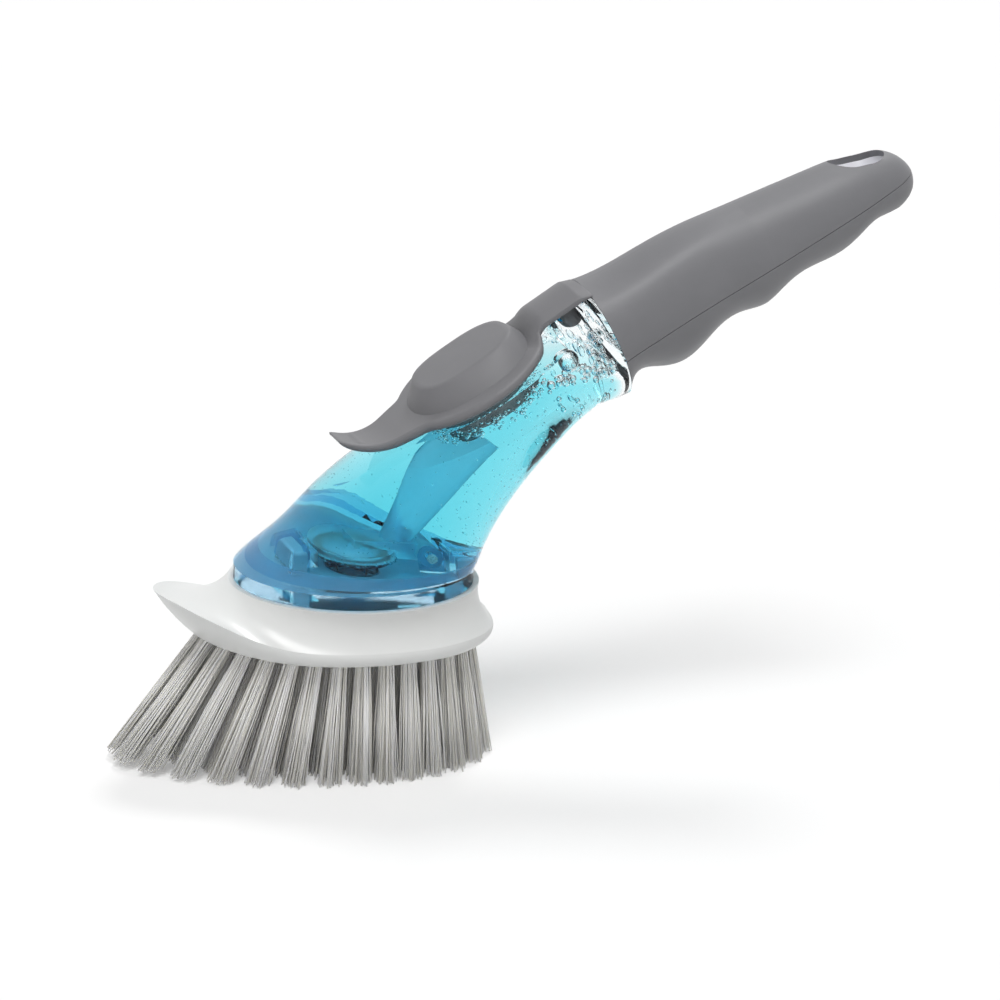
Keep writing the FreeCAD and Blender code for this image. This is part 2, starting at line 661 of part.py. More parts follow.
def lid_plug():
    """Skirt under the lid that drops into the filler mouth."""
    under, _ = lid_levels()
    return placed(ring(plug_outer(), plug_outer() - PLUG_WALL, -PLUG_DEPTH, under), LID_FRAME)


def lid_gasket():
    inner = plug_outer() + FIT_GAP
    outer = inner + PLUG_GAP + GASKET_WIDTH
    return placed(ring(outer, inner, MOVING_GAP, MOVING_GAP + GASKET_THICKNESS), LID_FRAME)


def strap_anchor():
    """Fixed end of the lid's strap: a ramp behind the fold, a crowned bar that runs level into the
    handle, and a plug through the wall below."""
    under, face = lid_levels()
    front = FOLD_S + SEAM_GAP
    corner = LID_SETBACK - STRAP_CORNER
    end = LID_SETBACK + STRAP_CORNER
    end_top = STRAP_TOP - (end - corner) * math.tan(math.radians(LID_ANGLE))
    bar = extruded_profile(((front, under), (front + STRAP_SEAT - under, STRAP_SEAT), (end, STRAP_SEAT),
                            (end, end_top), (corner, STRAP_TOP), (front + STRAP_TOP - face, STRAP_TOP),
                            (front, face)), STRAP_HALF_WIDTH)
    crown_axis = V(0, 0, STRAP_TOP - NECK_HALF_HEIGHT)
    crown = Part.makeCylinder(NECK_HALF_HEIGHT, 2 * NEAR, crown_axis, V(1, 0, 0))
    plug = rod(ANCHOR_PLUG_R, STRAP_SEAT - ANCHOR_PLUG_LENGTH, STRAP_SEAT, FOLD_S + ANCHOR_PLUG_PLACE)
    before_seam = placed(block(-FAR, 0, FAR, -FAR, FAR), HANDLE_FRAME)
    return placed(fused(bar.common(crown), plug), LID_FRAME).common(before_seam)


def button_levels():
    """Lower edge and rim of the button cap over the seat."""
    _, face = lid_levels()
    rim = face + DOME_HEIGHT
    return rim - CAP_THICKNESS, rim


def dome_skirt():
    """Soft ring round the button, with a round shoulder, open inside for the button."""
    _, face = lid_levels()
    _, rim = button_levels()
    inner = button_opening()
    centre = V(DOME_R - SHOULDER_R, 0, rim - SHOULDER_R)
    low = centre + V(SHOULDER_R, 0, 0)
    high = centre + V(0, 0, SHOULDER_R)
    middle = centre + V(SHOULDER_R, 0, SHOULDER_R).normalize() * SHOULDER_R
    outline = Part.Wire([
        Part.makeLine(V(DOME_R, 0, face), low),
        Part.Arc(low, middle, high).toShape(),
        Part.makeLine(high, V(inner, 0, rim)),
        Part.makeLine(V(inner, 0, rim), V(inner, 0, face)),
        Part.makeLine(V(inner, 0, face), V(DOME_R, 0, face)),
    ])
    return placed(Part.Face(outline).revolve(V(0, 0, 0), Z_AXIS, 360), LID_FRAME)


def button_cap():
    """Disc under the thumb, crowned as part of a sphere."""
    low, rim = button_levels()
    crown_r = (CAP_R ** 2 + CAP_CROWN ** 2) / (2 * CAP_CROWN)
    disc = rod(CAP_R, low, rim + CAP_CROWN)
    ball = Part.makeSphere(crown_r, V(0, 0, rim + CAP_CROWN - crown_r))
    return placed(disc.common(ball), LID_FRAME)


def button_plunger():
    low, _ = button_levels()
    body = rod(PLUNGER_R, -PLUNGER_REACH, low, PLUNGER_S)
    tip = [e for e in body.Edges if abs(e.CenterOfMass.z + PLUNGER_REACH) < 0.01]
    return placed(body.makeFillet(PLUNGER_ROUND, tip), LID_FRAME)


# Valve

def valve_lever():
    """Disc over the outlet, arm to the pivot, and a tapered stem up to the plunger."""
    disc_z = FLOOR_Z + 2 * SEAL_R
    pivot = V(PIVOT_X, 0, SEAT_Z + PIVOT_RISE)
    disc = rod(DISC_R, disc_z, disc_z + DISC_THICKNESS)
    hub = Part.makeCylinder(HUB_R, 2 * HUB_HALF_WIDTH, pivot - Y_AXIS * HUB_HALF_WIDTH, Y_AXIS)
    arm = block(0, PIVOT_X, HUB_HALF_WIDTH - EAR_THICKNESS, disc_z, disc_z + 2 * DISC_THICKNESS)
    top = LID_FRAME.multVec(V(STEM_TOP_S, 0, -PLUNGER_REACH - MOVING_GAP))
    foot = V(STEM_FOOT_X, 0, disc_z + DISC_THICKNESS)
    rise = top - foot
    grow = (STEM_TOP_R - STEM_FOOT_R) / rise.Length
    over = STEM_TOP_R
    stem = Part.makeCone(STEM_FOOT_R, STEM_TOP_R + grow * over, rise.Length + over, foot, rise)
    above = placed(block(-FAR, FAR, FAR, -PLUNGER_REACH - MOVING_GAP, FAR), LID_FRAME)
    stem = stem.cut(above)
    body = fused(disc, hub, arm, stem)
    bore = Part.makeCylinder(PIN_R + FIT_GAP, FAR, pivot - Y_AXIS * (FAR / 2), Y_AXIS)
    return body.cut(bore)


def valve_seal():
    outer = VALVE_SEAL_RING + SEAL_R
    inner = VALVE_SEAL_RING - SEAL_R
    return ring(outer, inner, FLOOR_Z + MOVING_GAP, FLOOR_Z + 2 * SEAL_R)


def lever_pin():
    half = HUB_HALF_WIDTH + MOVING_GAP + EAR_THICKNESS
    return Part.makeCylinder(PIN_R, 2 * half, V(PIVOT_X, -half, SEAT_Z + PIVOT_RISE), Y_AXIS)


# Handle

def collar_depth():
    """Solid front end of the handle, bored for the spigot."""
    return HANDLE_SECTIONS[HOLLOW_FIRST][0] * HANDLE_LENGTH


def handle_wires(sections, inset=0.0):
    wires = []
    for share, top, bottom, half_width, finger in sections:
        low = bottom - GROOVE_DEPTH * finger
        middle = V(share * HANDLE_LENGTH, 0, 0)
        wires.append(oval(middle, Z_AXIS, top - inset, low - inset, half_width - inset))
    return wires


def handle_form():
    end = Part.Vertex(V(HANDLE_LENGTH, 0, -END_DROP))
    return Part.makeLoft(handle_wires(HANDLE_SECTIONS) + [end], True, False)


def handle_hollow(wall):
    sections = HANDLE_SECTIONS[HOLLOW_FIRST:HOLLOW_LAST + 1]
    return Part.makeLoft(handle_wires(sections, wall), True, False)


def hang_slot():
    """Rounded slot through the handle, to hang the wand on a hook."""
    straight = SLOT_LENGTH - SLOT_WIDTH
    place = HANDLE_LENGTH - SLOT_SETBACK
    first = place - straight / 2
    last = place + straight / 2
    ends = [rod(SLOT_WIDTH / 2, -NEAR, NEAR, x) for x in (first, last)]
    middle = block(first, last, SLOT_WIDTH / 2, -NEAR, NEAR)
    return middle.fuse(ends)


def handle_shells():
    """Upper and lower shell: one hollow form, parted below its axis."""
    bore = Part.makeCylinder(SPIGOT_R + FIT_GAP, collar_depth() + 2, V(-1, 0, 0), V(1, 0, 0))
    body = handle_form().cut([handle_hollow(HANDLE_WALL), bore, hang_slot()])
    body = body.common(block(SEAM_GAP, FAR, FAR, -FAR, FAR))
    parting = FreeCAD.Placement(V(0, 0, -PARTING_DROP), FreeCAD.Rotation(Y_AXIS, -PARTING_TILT))
    upper = body.common(placed(block(-FAR, FAR, FAR, SEAM_GAP / 2, FAR), parting))
    lower = body.common(placed(block(-FAR, FAR, FAR, -FAR, -SEAM_GAP / 2), parting))
    return placed(upper, HANDLE_FRAME), placed(lower, HANDLE_FRAME)


def handle_core():
    """White core inside the rear end of the two shells: it shows in the hang slot."""
    rear = block(CORE_START * HANDLE_LENGTH, FAR, FAR, -FAR, FAR)
    core = handle_hollow(HANDLE_WALL + FIT_GAP).common(rear)
    return placed(core.cut(hang_slot()), HANDLE_FRAME)


def build():
    rows = tuft_places()
    upper, lower = handle_shells()
    pieces = {
        "head_shell": head_shell(),
        "bristle_plate": bristle_plate(rows),
        "outlet_seal": outlet_seal(),
        "reservoir_shell": reservoir_shell(),
        "reservoir_base": reservoir_base(),
        "neck_seal": neck_seal(),
        "lid_plate": lid_plate(),
        "lid_plug": lid_plug(),
        "lid_gasket": lid_gasket(),
        "strap_anchor": strap_anchor(),
        "dome_skirt": dome_skirt(),
        "button_cap": button_cap(),
        "button_plunger": button_plunger(),
        "valve_lever": valve_lever(),
        "valve_seal": valve_seal(),
        "lever_pin": lever_pin(),
        "handle_upper": upper,
        "handle_lower": lower,
        "handle_core": handle_core(),
    }
    for name, places in zip(TUFT_ROWS, rows):
        pieces[name] = tuft_row(places)
    return pieces


os.makedirs("parts", exist_ok=True)
for name, shape in build().items():
    shape.exportStep("parts/" + name + ".step")
    print(name, "solids", len(shape.Solids), "valid", shape.isValid(), "volume", round(shape.Volume))
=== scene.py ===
import json
import math
import random

import bmesh
import bpy
import numpy as np
from mathutils import Matrix, Vector
from mathutils.bvhtree import BVHTree


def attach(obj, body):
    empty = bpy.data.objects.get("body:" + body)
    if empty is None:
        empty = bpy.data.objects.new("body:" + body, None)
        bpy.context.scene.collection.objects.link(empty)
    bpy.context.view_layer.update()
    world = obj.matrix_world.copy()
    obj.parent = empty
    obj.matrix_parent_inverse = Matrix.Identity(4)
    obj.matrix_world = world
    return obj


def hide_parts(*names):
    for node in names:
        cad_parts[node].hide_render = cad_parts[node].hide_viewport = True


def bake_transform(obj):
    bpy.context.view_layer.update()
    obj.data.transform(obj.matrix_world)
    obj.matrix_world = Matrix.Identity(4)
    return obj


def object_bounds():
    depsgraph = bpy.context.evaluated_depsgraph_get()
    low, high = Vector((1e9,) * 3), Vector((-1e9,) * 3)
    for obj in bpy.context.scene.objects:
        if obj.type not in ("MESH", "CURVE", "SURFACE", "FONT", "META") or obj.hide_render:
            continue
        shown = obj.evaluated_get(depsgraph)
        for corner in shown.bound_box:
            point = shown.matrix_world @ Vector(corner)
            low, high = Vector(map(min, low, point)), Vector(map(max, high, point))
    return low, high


# Looks of the dish wand. Lengths are in metres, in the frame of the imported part: X runs towards
# the handle, Y across the width, Z up from the plane of the bristle tips.

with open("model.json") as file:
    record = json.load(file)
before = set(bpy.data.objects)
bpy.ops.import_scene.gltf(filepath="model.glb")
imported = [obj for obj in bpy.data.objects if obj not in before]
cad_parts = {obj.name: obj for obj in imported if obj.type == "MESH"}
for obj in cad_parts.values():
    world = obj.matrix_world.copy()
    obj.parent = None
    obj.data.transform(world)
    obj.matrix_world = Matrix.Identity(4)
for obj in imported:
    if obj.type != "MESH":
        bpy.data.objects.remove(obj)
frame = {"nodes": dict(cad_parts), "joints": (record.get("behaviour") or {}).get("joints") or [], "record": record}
cad_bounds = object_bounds()
nodes = frame["nodes"]
MM = 0.001

# Camera
CAMERA_TARGET = Vector((39.9, 0.0, 65.8)) * MM
CAMERA_DISTANCE = 0.754
CAMERA_AZIMUTH = math.radians(-20.94)
CAMERA_ELEVATION = math.radians(16.88)
CAMERA_LEAN = math.radians(3.2)
FIELD_OF_VIEW = math.radians(20.0)

# Lid frame: s runs along the lid towards the handle, h is the height over the deck
FOLD_S = 23.0 * MM
LID_FACE = 4.0 * MM
LID_UNDER = 1.3 * MM
LID_R = 22.2 * MM

# Colours, linear
GREY = (0.186, 0.187, 0.198)
LID_TINT = (0.176, 0.176, 0.186)
WHITE_PLASTIC = (0.77, 0.78, 0.77)
CORE_WHITE = (0.80, 0.80, 0.85)
NYLON = (0.95, 0.935, 0.88)
CLEAR = (0.95, 0.985, 1.0)
BASE_BLUE = (0.50, 0.74, 0.90)
STEM_BLUE = (0.55, 0.80, 0.93)
RUBBER = (0.022, 0.034, 0.055)
STEEL = (0.55, 0.55, 0.56)
FLOOR_WHITE = (0.72, 0.72, 0.72)


# Frame of the lid, read from the joints and from the gasket round the filler mouth

joints = {joint["name"]: joint for joint in frame["joints"]}
LID_NORMAL = -Vector(joints["button_press"]["axis"]).normalized()
LID_ALONG = Vector((0, 1, 0)).cross(LID_NORMAL)


def node_points(name):
    mesh = nodes[name].data
    points = np.empty(len(mesh.vertices) * 3)
    mesh.vertices.foreach_get("co", points)
    return points.reshape(-1, 3)


HANDLE_SLOPE = math.radians(27.0)
HANDLE_ALONG = Vector((math.cos(HANDLE_SLOPE), 0, math.sin(HANDLE_SLOPE)))
FRONT_BAND = 0.1 * MM     # points this near to the handle's front belong to its front edge


def handle_start():
    """Middle of the seam between reservoir and handle."""
    points = node_points("handle_upper")
    along = points @ np.array(HANDLE_ALONG)
    front = points[along < along.min() + FRONT_BAND]
    return Vector((front[:, 0].mean(), 0, front[:, 2].mean()))


HANDLE_START = handle_start()


def lid_origin():
    """Middle of the filler mouth, at the height of the deck."""
    points = node_points("lid_plug")
    middle = Vector((points.min(axis=0) + points.max(axis=0)) / 2)
    heights = points @ np.array(LID_NORMAL)
    under_face = heights.max() - LID_UNDER
    return middle + LID_NORMAL * (under_face - middle.dot(LID_NORMAL))


LID_ORIGIN = lid_origin()


def lid_point(s, y, h):
    return LID_ORIGIN + LID_ALONG * s + LID_NORMAL * h + Vector((0, y, 0))


# Small helpers for meshes and materials

def smoothstep(low, high, value):
    share = min(1.0, max(0.0, (value - low) / (high - low)))
    return share * share * (3 - 2 * share)


def mesh_piece(name, points, faces, material):
    mesh = bpy.data.meshes.new(name)
    mesh.from_pydata([tuple(p) for p in points], [], faces)
    mesh.polygons.foreach_set("use_smooth", [True] * len(mesh.polygons))
    mesh.materials.append(material)
    mesh.update()
    piece = bpy.data.objects.new(name, mesh)
    bpy.context.scene.collection.objects.link(piece)
    return piece


def walls_tree(*names):
    """Search tree over the faces of some nodes."""
    points = []
    faces = []
    for name in names:
        mesh = nodes[name].data
        start = len(points)
        points += [v.co.copy() for v in mesh.vertices]
        faces += [tuple(start + i for i in face.vertices) for face in mesh.polygons]
    return BVHTree.FromPolygons(points, faces)


def ring_faces(rings, count, start=0):
    """Quads between rings of 'count' points each."""
    faces = []
    for r in range(rings - 1):
        for i in range(count):
            a = start + r * count + i
            b = start + r * count + (i + 1) % count
            faces.append((a, b, b + count, a + count))
    return faces


def new_material(name):
    material = bpy.data.materials.new(name)
    material.use_nodes = True
    tree = material.node_tree
    return material, tree, tree.nodes["Principled BSDF"]


def noise(tree, scale, detail=3.0, roughness=0.55):
    """Noise over the object's own coordinates; the scale is in waves per metre."""
    place = tree.nodes.new("ShaderNodeTexCoord")
    texture = tree.nodes.new("ShaderNodeTexNoise")
    texture.inputs["Scale"].default_value = scale
    texture.inputs["Detail"].default_value = detail
    texture.inputs["Roughness"].default_value = roughness
    tree.links.new(place.outputs["Object"], texture.inputs["Vector"])
    return texture.outputs["Fac"]


def tone(tree, shader, colour, factor, spread):
    """Base colour that varies round a colour by a share, driven by a 0 to 1 factor."""
    ramp = tree.nodes.new("ShaderNodeValToRGB")
    ramp.color_ramp.elements[0].position = 0.3
    ramp.color_ramp.elements[1].position = 0.7
    ramp.color_ramp.elements[0].color = tuple(c * (1 - spread) for c in colour) + (1,)
    ramp.color_ramp.elements[1].color = tuple(min(1.0, c * (1 + spread)) for c in colour) + (1,)
    tree.links.new(factor, ramp.inputs["Fac"])
    tree.links.new(ramp.outputs["Color"], shader.inputs["Base Color"])


def vary_roughness(tree, shader, factor, low, high):
    spread = tree.nodes.new("ShaderNodeMapRange")
    spread.inputs["To Min"].default_value = low
    spread.inputs["To Max"].default_value = high
    tree.links.new(factor, spread.inputs["Value"])
    tree.links.new(spread.outputs["Result"], shader.inputs["Roughness"])


def bump(tree, shader, factor, strength, distance):
    """Bump on top of whatever bump the shader already has."""
    node = tree.nodes.new("ShaderNodeBump")
    node.inputs["Strength"].default_value = strength
    node.inputs["Distance"].default_value = distance
    tree.links.new(factor, node.inputs["Height"])
    for link in shader.inputs["Normal"].links:
        tree.links.new(link.from_socket, node.inputs["Normal"])
    tree.links.new(node.outputs["Normal"], shader.inputs["Normal"])


def calculate(tree, operation, first, second, third=None):
    """Math node; a value may be a number or another node's output."""
    node = tree.nodes.new("ShaderNodeMath")
    node.operation = operation
    for socket, value in zip(node.inputs, (first, second, third)):
        if value is None:
            continue
        if isinstance(value, float):
            socket.default_value = value
        else:
            tree.links.new(value, socket)
    return node.outputs["Value"]


# Materials

def soft_touch(name, colour, rough_low, rough_high):
    """Grey soft touch plastic: fine spark texture and faint clouding."""
    material, tree, shader = new_material(name)
    tone(tree, shader, colour, noise(tree, 60.0), 0.04)
    grain = noise(tree, 5200.0, 2.0)
    vary_roughness(tree, shader, grain, rough_low, rough_high)
    bump(tree, shader, grain, 0.12, 0.00004)
    shader.inputs["Specular IOR Level"].default_value = 0.42
    return material


THUMB_LENGTH = 48.0 * MM  # the flattened thumb rest fades out this far behind the seam
THUMB_HALF_WIDTH = 10.5 * MM
THUMB_FLATTENING = 14.0   # curvature taken off the round top, per metre
THUMB_EDGE = 0.5 * MM


def thumb_rest(material):
    """Flattens the look of the handle's top behind the seam, with a soft ridge round the flat."""
    tree = material.node_tree
    shader = tree.nodes["Principled BSDF"]
    place = tree.nodes.new("ShaderNodeTexCoord")
    along = tree.nodes.new("ShaderNodeVectorMath")
    along.operation = "DOT_PRODUCT"
    along.inputs[1].default_value = HANDLE_ALONG
    tree.links.new(place.outputs["Object"], along.inputs[0])
    start = calculate(tree, "SUBTRACT", along.outputs["Value"], HANDLE_START.dot(HANDLE_ALONG))
    share = calculate(tree, "DIVIDE", start, THUMB_LENGTH)
    left = calculate(tree, "SUBTRACT", 1.0, calculate(tree, "MULTIPLY", share, share))
    rim = calculate(tree, "MULTIPLY", calculate(tree, "MAXIMUM", left, 0.0),
                    THUMB_FLATTENING * THUMB_HALF_WIDTH ** 2)
    split = tree.nodes.new("ShaderNodeSeparateXYZ")
    tree.links.new(place.outputs["Object"], split.inputs["Vector"])
    width = split.outputs["Y"]
    flat = calculate(tree, "MULTIPLY", calculate(tree, "MULTIPLY", width, width), THUMB_FLATTENING)
    bump(tree, shader, calculate(tree, "SMOOTH_MIN", flat, rim, THUMB_EDGE), 1.0, 1.0)


def head_plastic():
    """White glossy moulding, slightly cloudy, with faint flow marks."""
    material, tree, shader = new_material("head_white")
    tone(tree, shader, WHITE_PLASTIC, noise(tree, 35.0, 4.0), 0.015)
    vary_roughness(tree, shader, noise(tree, 240.0), 0.28, 0.38)
    bump(tree, shader, noise(tree, 90.0, 2.0), 0.05, 0.0002)
    shader.inputs["Subsurface Weight"].default_value = 0.12
    shader.inputs["Subsurface Radius"].default_value = (0.004, 0.004, 0.004)
    shader.inputs["Coat Weight"].default_value = 0.1
    shader.inputs["Coat Roughness"].default_value = 0.2
    return material


def core_plastic():
    """White core of the handle, seen in the hang slot."""
    material, tree, shader = new_material("core_white")
    tone(tree, shader, CORE_WHITE, noise(tree, 80.0), 0.02)
    vary_roughness(tree, shader, noise(tree, 600.0), 0.3, 0.45)
    return material


def bristle_nylon():
    """Milky filaments, each with its own tone."""
    material, tree, shader = new_material("bristle_nylon")
    island = tree.nodes.new("ShaderNodeNewGeometry")
    tone(tree, shader, NYLON, island.outputs["Random Per Island"], 0.12)
    vary_roughness(tree, shader, noise(tree, 900.0), 0.35, 0.5)
    shader.inputs["Subsurface Weight"].default_value = 0.7
    shader.inputs["Subsurface Radius"].default_value = (0.003, 0.003, 0.0028)
    return material


def clear_plastic():
    """Polished clear moulding with faint waves in its surface."""
    material, tree, shader = new_material("clear_plastic")
    tone(tree, shader, CLEAR, noise(tree, 40.0), 0.01)
    vary_roughness(tree, shader, noise(tree, 300.0), 0.0, 0.03)
    bump(tree, shader, noise(tree, 70.0, 1.0), 0.06, 0.0004)
    shader.inputs["Transmission Weight"].default_value = 1.0
    shader.inputs["IOR"].default_value = 1.25
    return material


def base_plastic():
    """Clear base inside the liquid: there its plastic bends light only a little."""
    material, tree, shader = new_material("base_plastic")
    tone(tree, shader, BASE_BLUE, noise(tree, 60.0), 0.02)
    vary_roughness(tree, shader, noise(tree, 300.0), 0.02, 0.07)
    shader.inputs["Transmission Weight"].default_value = 0.96
    shader.inputs["IOR"].default_value = 1.08
    return material


def stem_plastic():
    """Milky blue plastic of the valve's lever."""
    material, tree, shader = new_material("stem_plastic")
    tone(tree, shader, STEM_BLUE, noise(tree, 120.0), 0.05)
    vary_roughness(tree, shader, noise(tree, 400.0), 0.3, 0.42)
    shader.inputs["Transmission Weight"].default_value = 0.75
    shader.inputs["IOR"].default_value = 1.12
    return material


def seal_rubber():
    material, tree, shader = new_material("seal_rubber")
    tone(tree, shader, RUBBER, noise(tree, 500.0), 0.15)
    vary_roughness(tree, shader, noise(tree, 2500.0), 0.4, 0.6)
    return material


def pin_steel():
    material, tree, shader = new_material("pin_steel")
    tone(tree, shader, STEEL, noise(tree, 700.0), 0.06)
    vary_roughness(tree, shader, noise(tree, 3000.0), 0.2, 0.35)
    shader.inputs["Metallic"].default_value = 1.0
    return material


def soap_liquid():
    """Cyan washing-up liquid: no surface of its own at the walls, colour from its depth."""
    material, tree, shader = new_material("soap_liquid")
    tree.nodes.remove(shader)
    depth = tree.nodes.new("ShaderNodeVolumeAbsorption")
    depth.inputs["Color"].default_value = (0.04, 0.82, 0.90, 1)
    depth.inputs["Density"].default_value = 50.0
    tree.links.new(depth.outputs["Volume"], tree.nodes["Material Output"].inputs["Volume"])
    return material


def soap_face():
    """Skins of the bubbles in the liquid and of the foam on it."""
    material, tree, shader = new_material("soap_face")
    tone(tree, shader, (0.90, 0.98, 1.0), noise(tree, 200.0), 0.01)
    vary_roughness(tree, shader, noise(tree, 300.0), 0.0, 0.03)
    shader.inputs["Transmission Weight"].default_value = 1.0
    shader.inputs["IOR"].default_value = 1.33
    return material


GRIP = soft_touch("grip_grey", GREY, 0.40, 0.52)
thumb_rest(GRIP)
LID = soft_touch("lid_grey", LID_TINT, 0.46, 0.58)
HEAD = head_plastic()
CORE = core_plastic()
BRISTLE = bristle_nylon()
PLASTIC = clear_plastic()
BASE = base_plastic()
STEM = stem_plastic()
SEAL = seal_rubber()
PIN = pin_steel()
SOAP = soap_liquid()
SOAP_FACE = soap_face()

NODE_MATERIALS = {
    GRIP: ("handle_upper", "handle_lower"),
    LID: ("lid_plate", "strap_anchor", "dome_skirt", "button_cap", "button_plunger", "lid_plug"),
    HEAD: ("head_shell", "bristle_plate"),
    CORE: ("handle_core",),
    BRISTLE: ("outer_tufts", "second_tufts", "third_tufts", "inner_tufts"),
    PLASTIC: ("reservoir_shell",),
    BASE: ("reservoir_base",),
    STEM: ("valve_lever",),
    SEAL: ("neck_seal", "lid_gasket", "valve_seal", "outlet_seal"),
    PIN: ("lever_pin",),
}
for material, names in NODE_MATERIALS.items():
    for name in names:
        mesh = nodes[name].data
        mesh.materials.clear()
        mesh.materials.append(material)


# Bristles: every tuft of the part becomes a bundle of filaments

FILAMENTS = 72            # in one tuft
FILAMENT_R = 0.16 * MM
FILAMENT_SIDES = 5
FILAMENT_RINGS = 3
ROOT_SPREAD = 1.2         # the loose filaments fill a little more room than the solid tuft
TIP_SPREAD = 1.42
TIP_UNEVEN = 1.0 * MM     # how far the tips differ in length
STRAY = 0.10              # how far a filament's tip wanders, as a share of the tuft's tip
BOW = 0.2 * MM
ROOT_SINK = 2.0 * MM      # filaments start inside the plate
TURN_UNEVEN = 0.3         # how far a filament strays round the tuft's middle, in radians
TIP_BAND = 0.05 * MM      # points this near to a tuft's end belong to that end
ROOT_BAND = 0.3 * MM


def tuft_islands(name):
    """Points of each separate tuft of a row."""
    work = bmesh.new()
    work.from_mesh(nodes[name].data)
    bmesh.ops.remove_doubles(work, verts=work.verts, dist=1e-6)
    unseen = set(work.verts)
    islands = []
    while unseen:
        queue = [unseen.pop()]
        island = []
        while queue:
            vert = queue.pop()
            island.append(vert.co.copy())
            for edge in vert.link_edges:
                other = edge.other_vert(vert)
                if other in unseen:
                    unseen.remove(other)
                    queue.append(other)
        islands.append(np.array(island))
    work.free()
    return islands


def tuft_ends(points):
    """Middle of the root disc and of the flat tip of a tuft, and the radius of both."""
    low = points[:, 2].min()
    tip = points[points[:, 2] < low + TIP_BAND]
    tip_middle = (tip.min(axis=0) + tip.max(axis=0)) / 2
    axis = points.mean(axis=0) - tip_middle
    axis /= np.linalg.norm(axis)
    along = (points - tip_middle) @ axis
    root = points[along > along.max() - ROOT_BAND]
    root_middle = (root.min(axis=0) + root.max(axis=0)) / 2
    tip_radius = (tip[:, 1].max() - tip[:, 1].min()) / 2
    root_radius = np.linalg.norm(root - root_middle, axis=1).max()
    return Vector(root_middle), Vector(tip_middle), root_radius, tip_radius


def filament(start, end, bow):
    """Rings of a thin tube from start to end, bowed sideways in between."""
    axis = (end - start).normalized()
    side = axis.orthogonal().normalized()
    other = axis.cross(side)
    points = []
    for ring in range(FILAMENT_RINGS):
        share = ring / (FILAMENT_RINGS - 1)
        middle = start.lerp(end, share) + bow * math.sin(math.pi * share)
        for i in range(FILAMENT_SIDES):
            turn = 2 * math.pi * i / FILAMENT_SIDES
            points.append(middle + (side * math.cos(turn) + other * math.sin(turn)) * FILAMENT_R)
    return points


def inside_box(point):
    """The point, kept a filament's thickness inside the part's own box."""
    low, high = cad_bounds
    x = max(low.x + FILAMENT_R, point.x)
    y = min(high.y - FILAMENT_R, max(low.y + FILAMENT_R, point.y))
    return Vector((x, y, max(FILAMENT_R, point.z)))


def tuft_filaments(points, rng):
    """Filaments of one tuft, spread evenly over its root and a little at random over its tip."""
    root, tip, root_radius, tip_radius = tuft_ends(points)
    axis = (tip - root).normalized()
    across = Vector((0, 1, 0))
    side = across.cross(axis).normalized()
    along = Vector((1, 0, 0))
    if side.dot(along) < 0:
        side = -side
    golden = math.pi * (3 - math.sqrt(5))
    result = []
    for k in range(FILAMENTS):
        reach = math.sqrt((k + 0.5) / FILAMENTS)
        turn = golden * k + rng.uniform(-TURN_UNEVEN, TURN_UNEVEN)
        side_share = math.cos(turn) * reach
        across_share = math.sin(turn) * reach
        root_shift = (side * side_share + across * across_share) * root_radius * ROOT_SPREAD
        start = root + axis * ROOT_SINK + root_shift
        wide = tip_radius * TIP_SPREAD
        shift_x = (side_share + rng.gauss(0, STRAY)) * wide
        shift_y = (across_share + rng.gauss(0, STRAY)) * wide
        target = tip + along * shift_x + across * shift_y
        short = abs(rng.gauss(0, TIP_UNEVEN / 2))
        end = inside_box(target + (start - target).normalized() * short)
        bow = (side * rng.gauss(0, 1) + across * rng.gauss(0, 1)) * BOW
        result.append(filament(start, end, bow))
    return result


def bristle_row(name, seed):
    """One piece with all filaments of a row of tufts."""
    rng = random.Random(seed)
    points = []
    faces = []
    for island in tuft_islands(name):
        for tube in tuft_filaments(island, rng):
            start = len(points)
            points += tube
            faces += ring_faces(FILAMENT_RINGS, FILAMENT_SIDES, start)
            last = start + (FILAMENT_RINGS - 1) * FILAMENT_SIDES
            faces.append(tuple(range(last, last + FILAMENT_SIDES)))
    row = mesh_piece(name.replace("tufts", "bristles"), points, faces, BRISTLE)
    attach(row, "head")
    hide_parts(name)


for seed, name in enumerate(("outer_tufts", "second_tufts", "third_tufts", "inner_tufts")):
    bristle_row(name, seed)


# Lid: one soft moulding of tab, rim and strap, and the dome of the push button

TAB_FLAT = 25.0 * MM       # the tab curls up from here
TAB_CURL_R = 16.3 * MM
TAB_TIP = 38.7 * MM
TAB_ROOT_WIDTH = 10.8 * MM
TAB_TIP_WIDTH = 5.0 * MM
TAB_CORNER = 3.0 * MM      # softness of the tip's corners
TAB_THINNING = 0.12        # share of its thickness that the tab loses towards its tip
TAB_THIN_FROM = 20.0 * MM
TAB_THIN_TO = 30.0 * MM
RIDGE_S = 34.0 * MM        # finger ridge across the tab
RIDGE_WIDTH = 0.7 * MM
RIDGE_HEIGHT = 0.3 * MM
RIDGE_REACH = 5.0 * MM
RIDGE_FADE = 1.0 * MM
STRAP_WIDTH = 8.6 * MM
STRAP_TOP = 9.0 * MM
STRAP_END = 7.6 * MM       # its top at the seam with the handle
STRAP_SEAT = 5.4 * MM
STRAP_CROWN_R = 17.0 * MM
STRAP_CORNER_S = 34.0 * MM
STRAP_ROUND = 0.45 * MM
STRAP_THIN = 0.4 * MM      # half of the strap's least thickness
RISE_START = 14.5 * MM     # the rim turns up into the strap from here
RISE_END = 23.0 * MM
RISE_FLARE = 0.5           # and later the further it lies to the side
SEAM_S = 37.4 * MM
EDGE_ROUND = 1.3 * MM      # of the rim
OUTLINE_BLEND = 2.5 * MM   # softness of the corners between disc, tab and strap
LID_SPOKES = 480
LID_RINGS = 60
RING_CROWDING = 2.2        # the rings lie closer together towards the edge
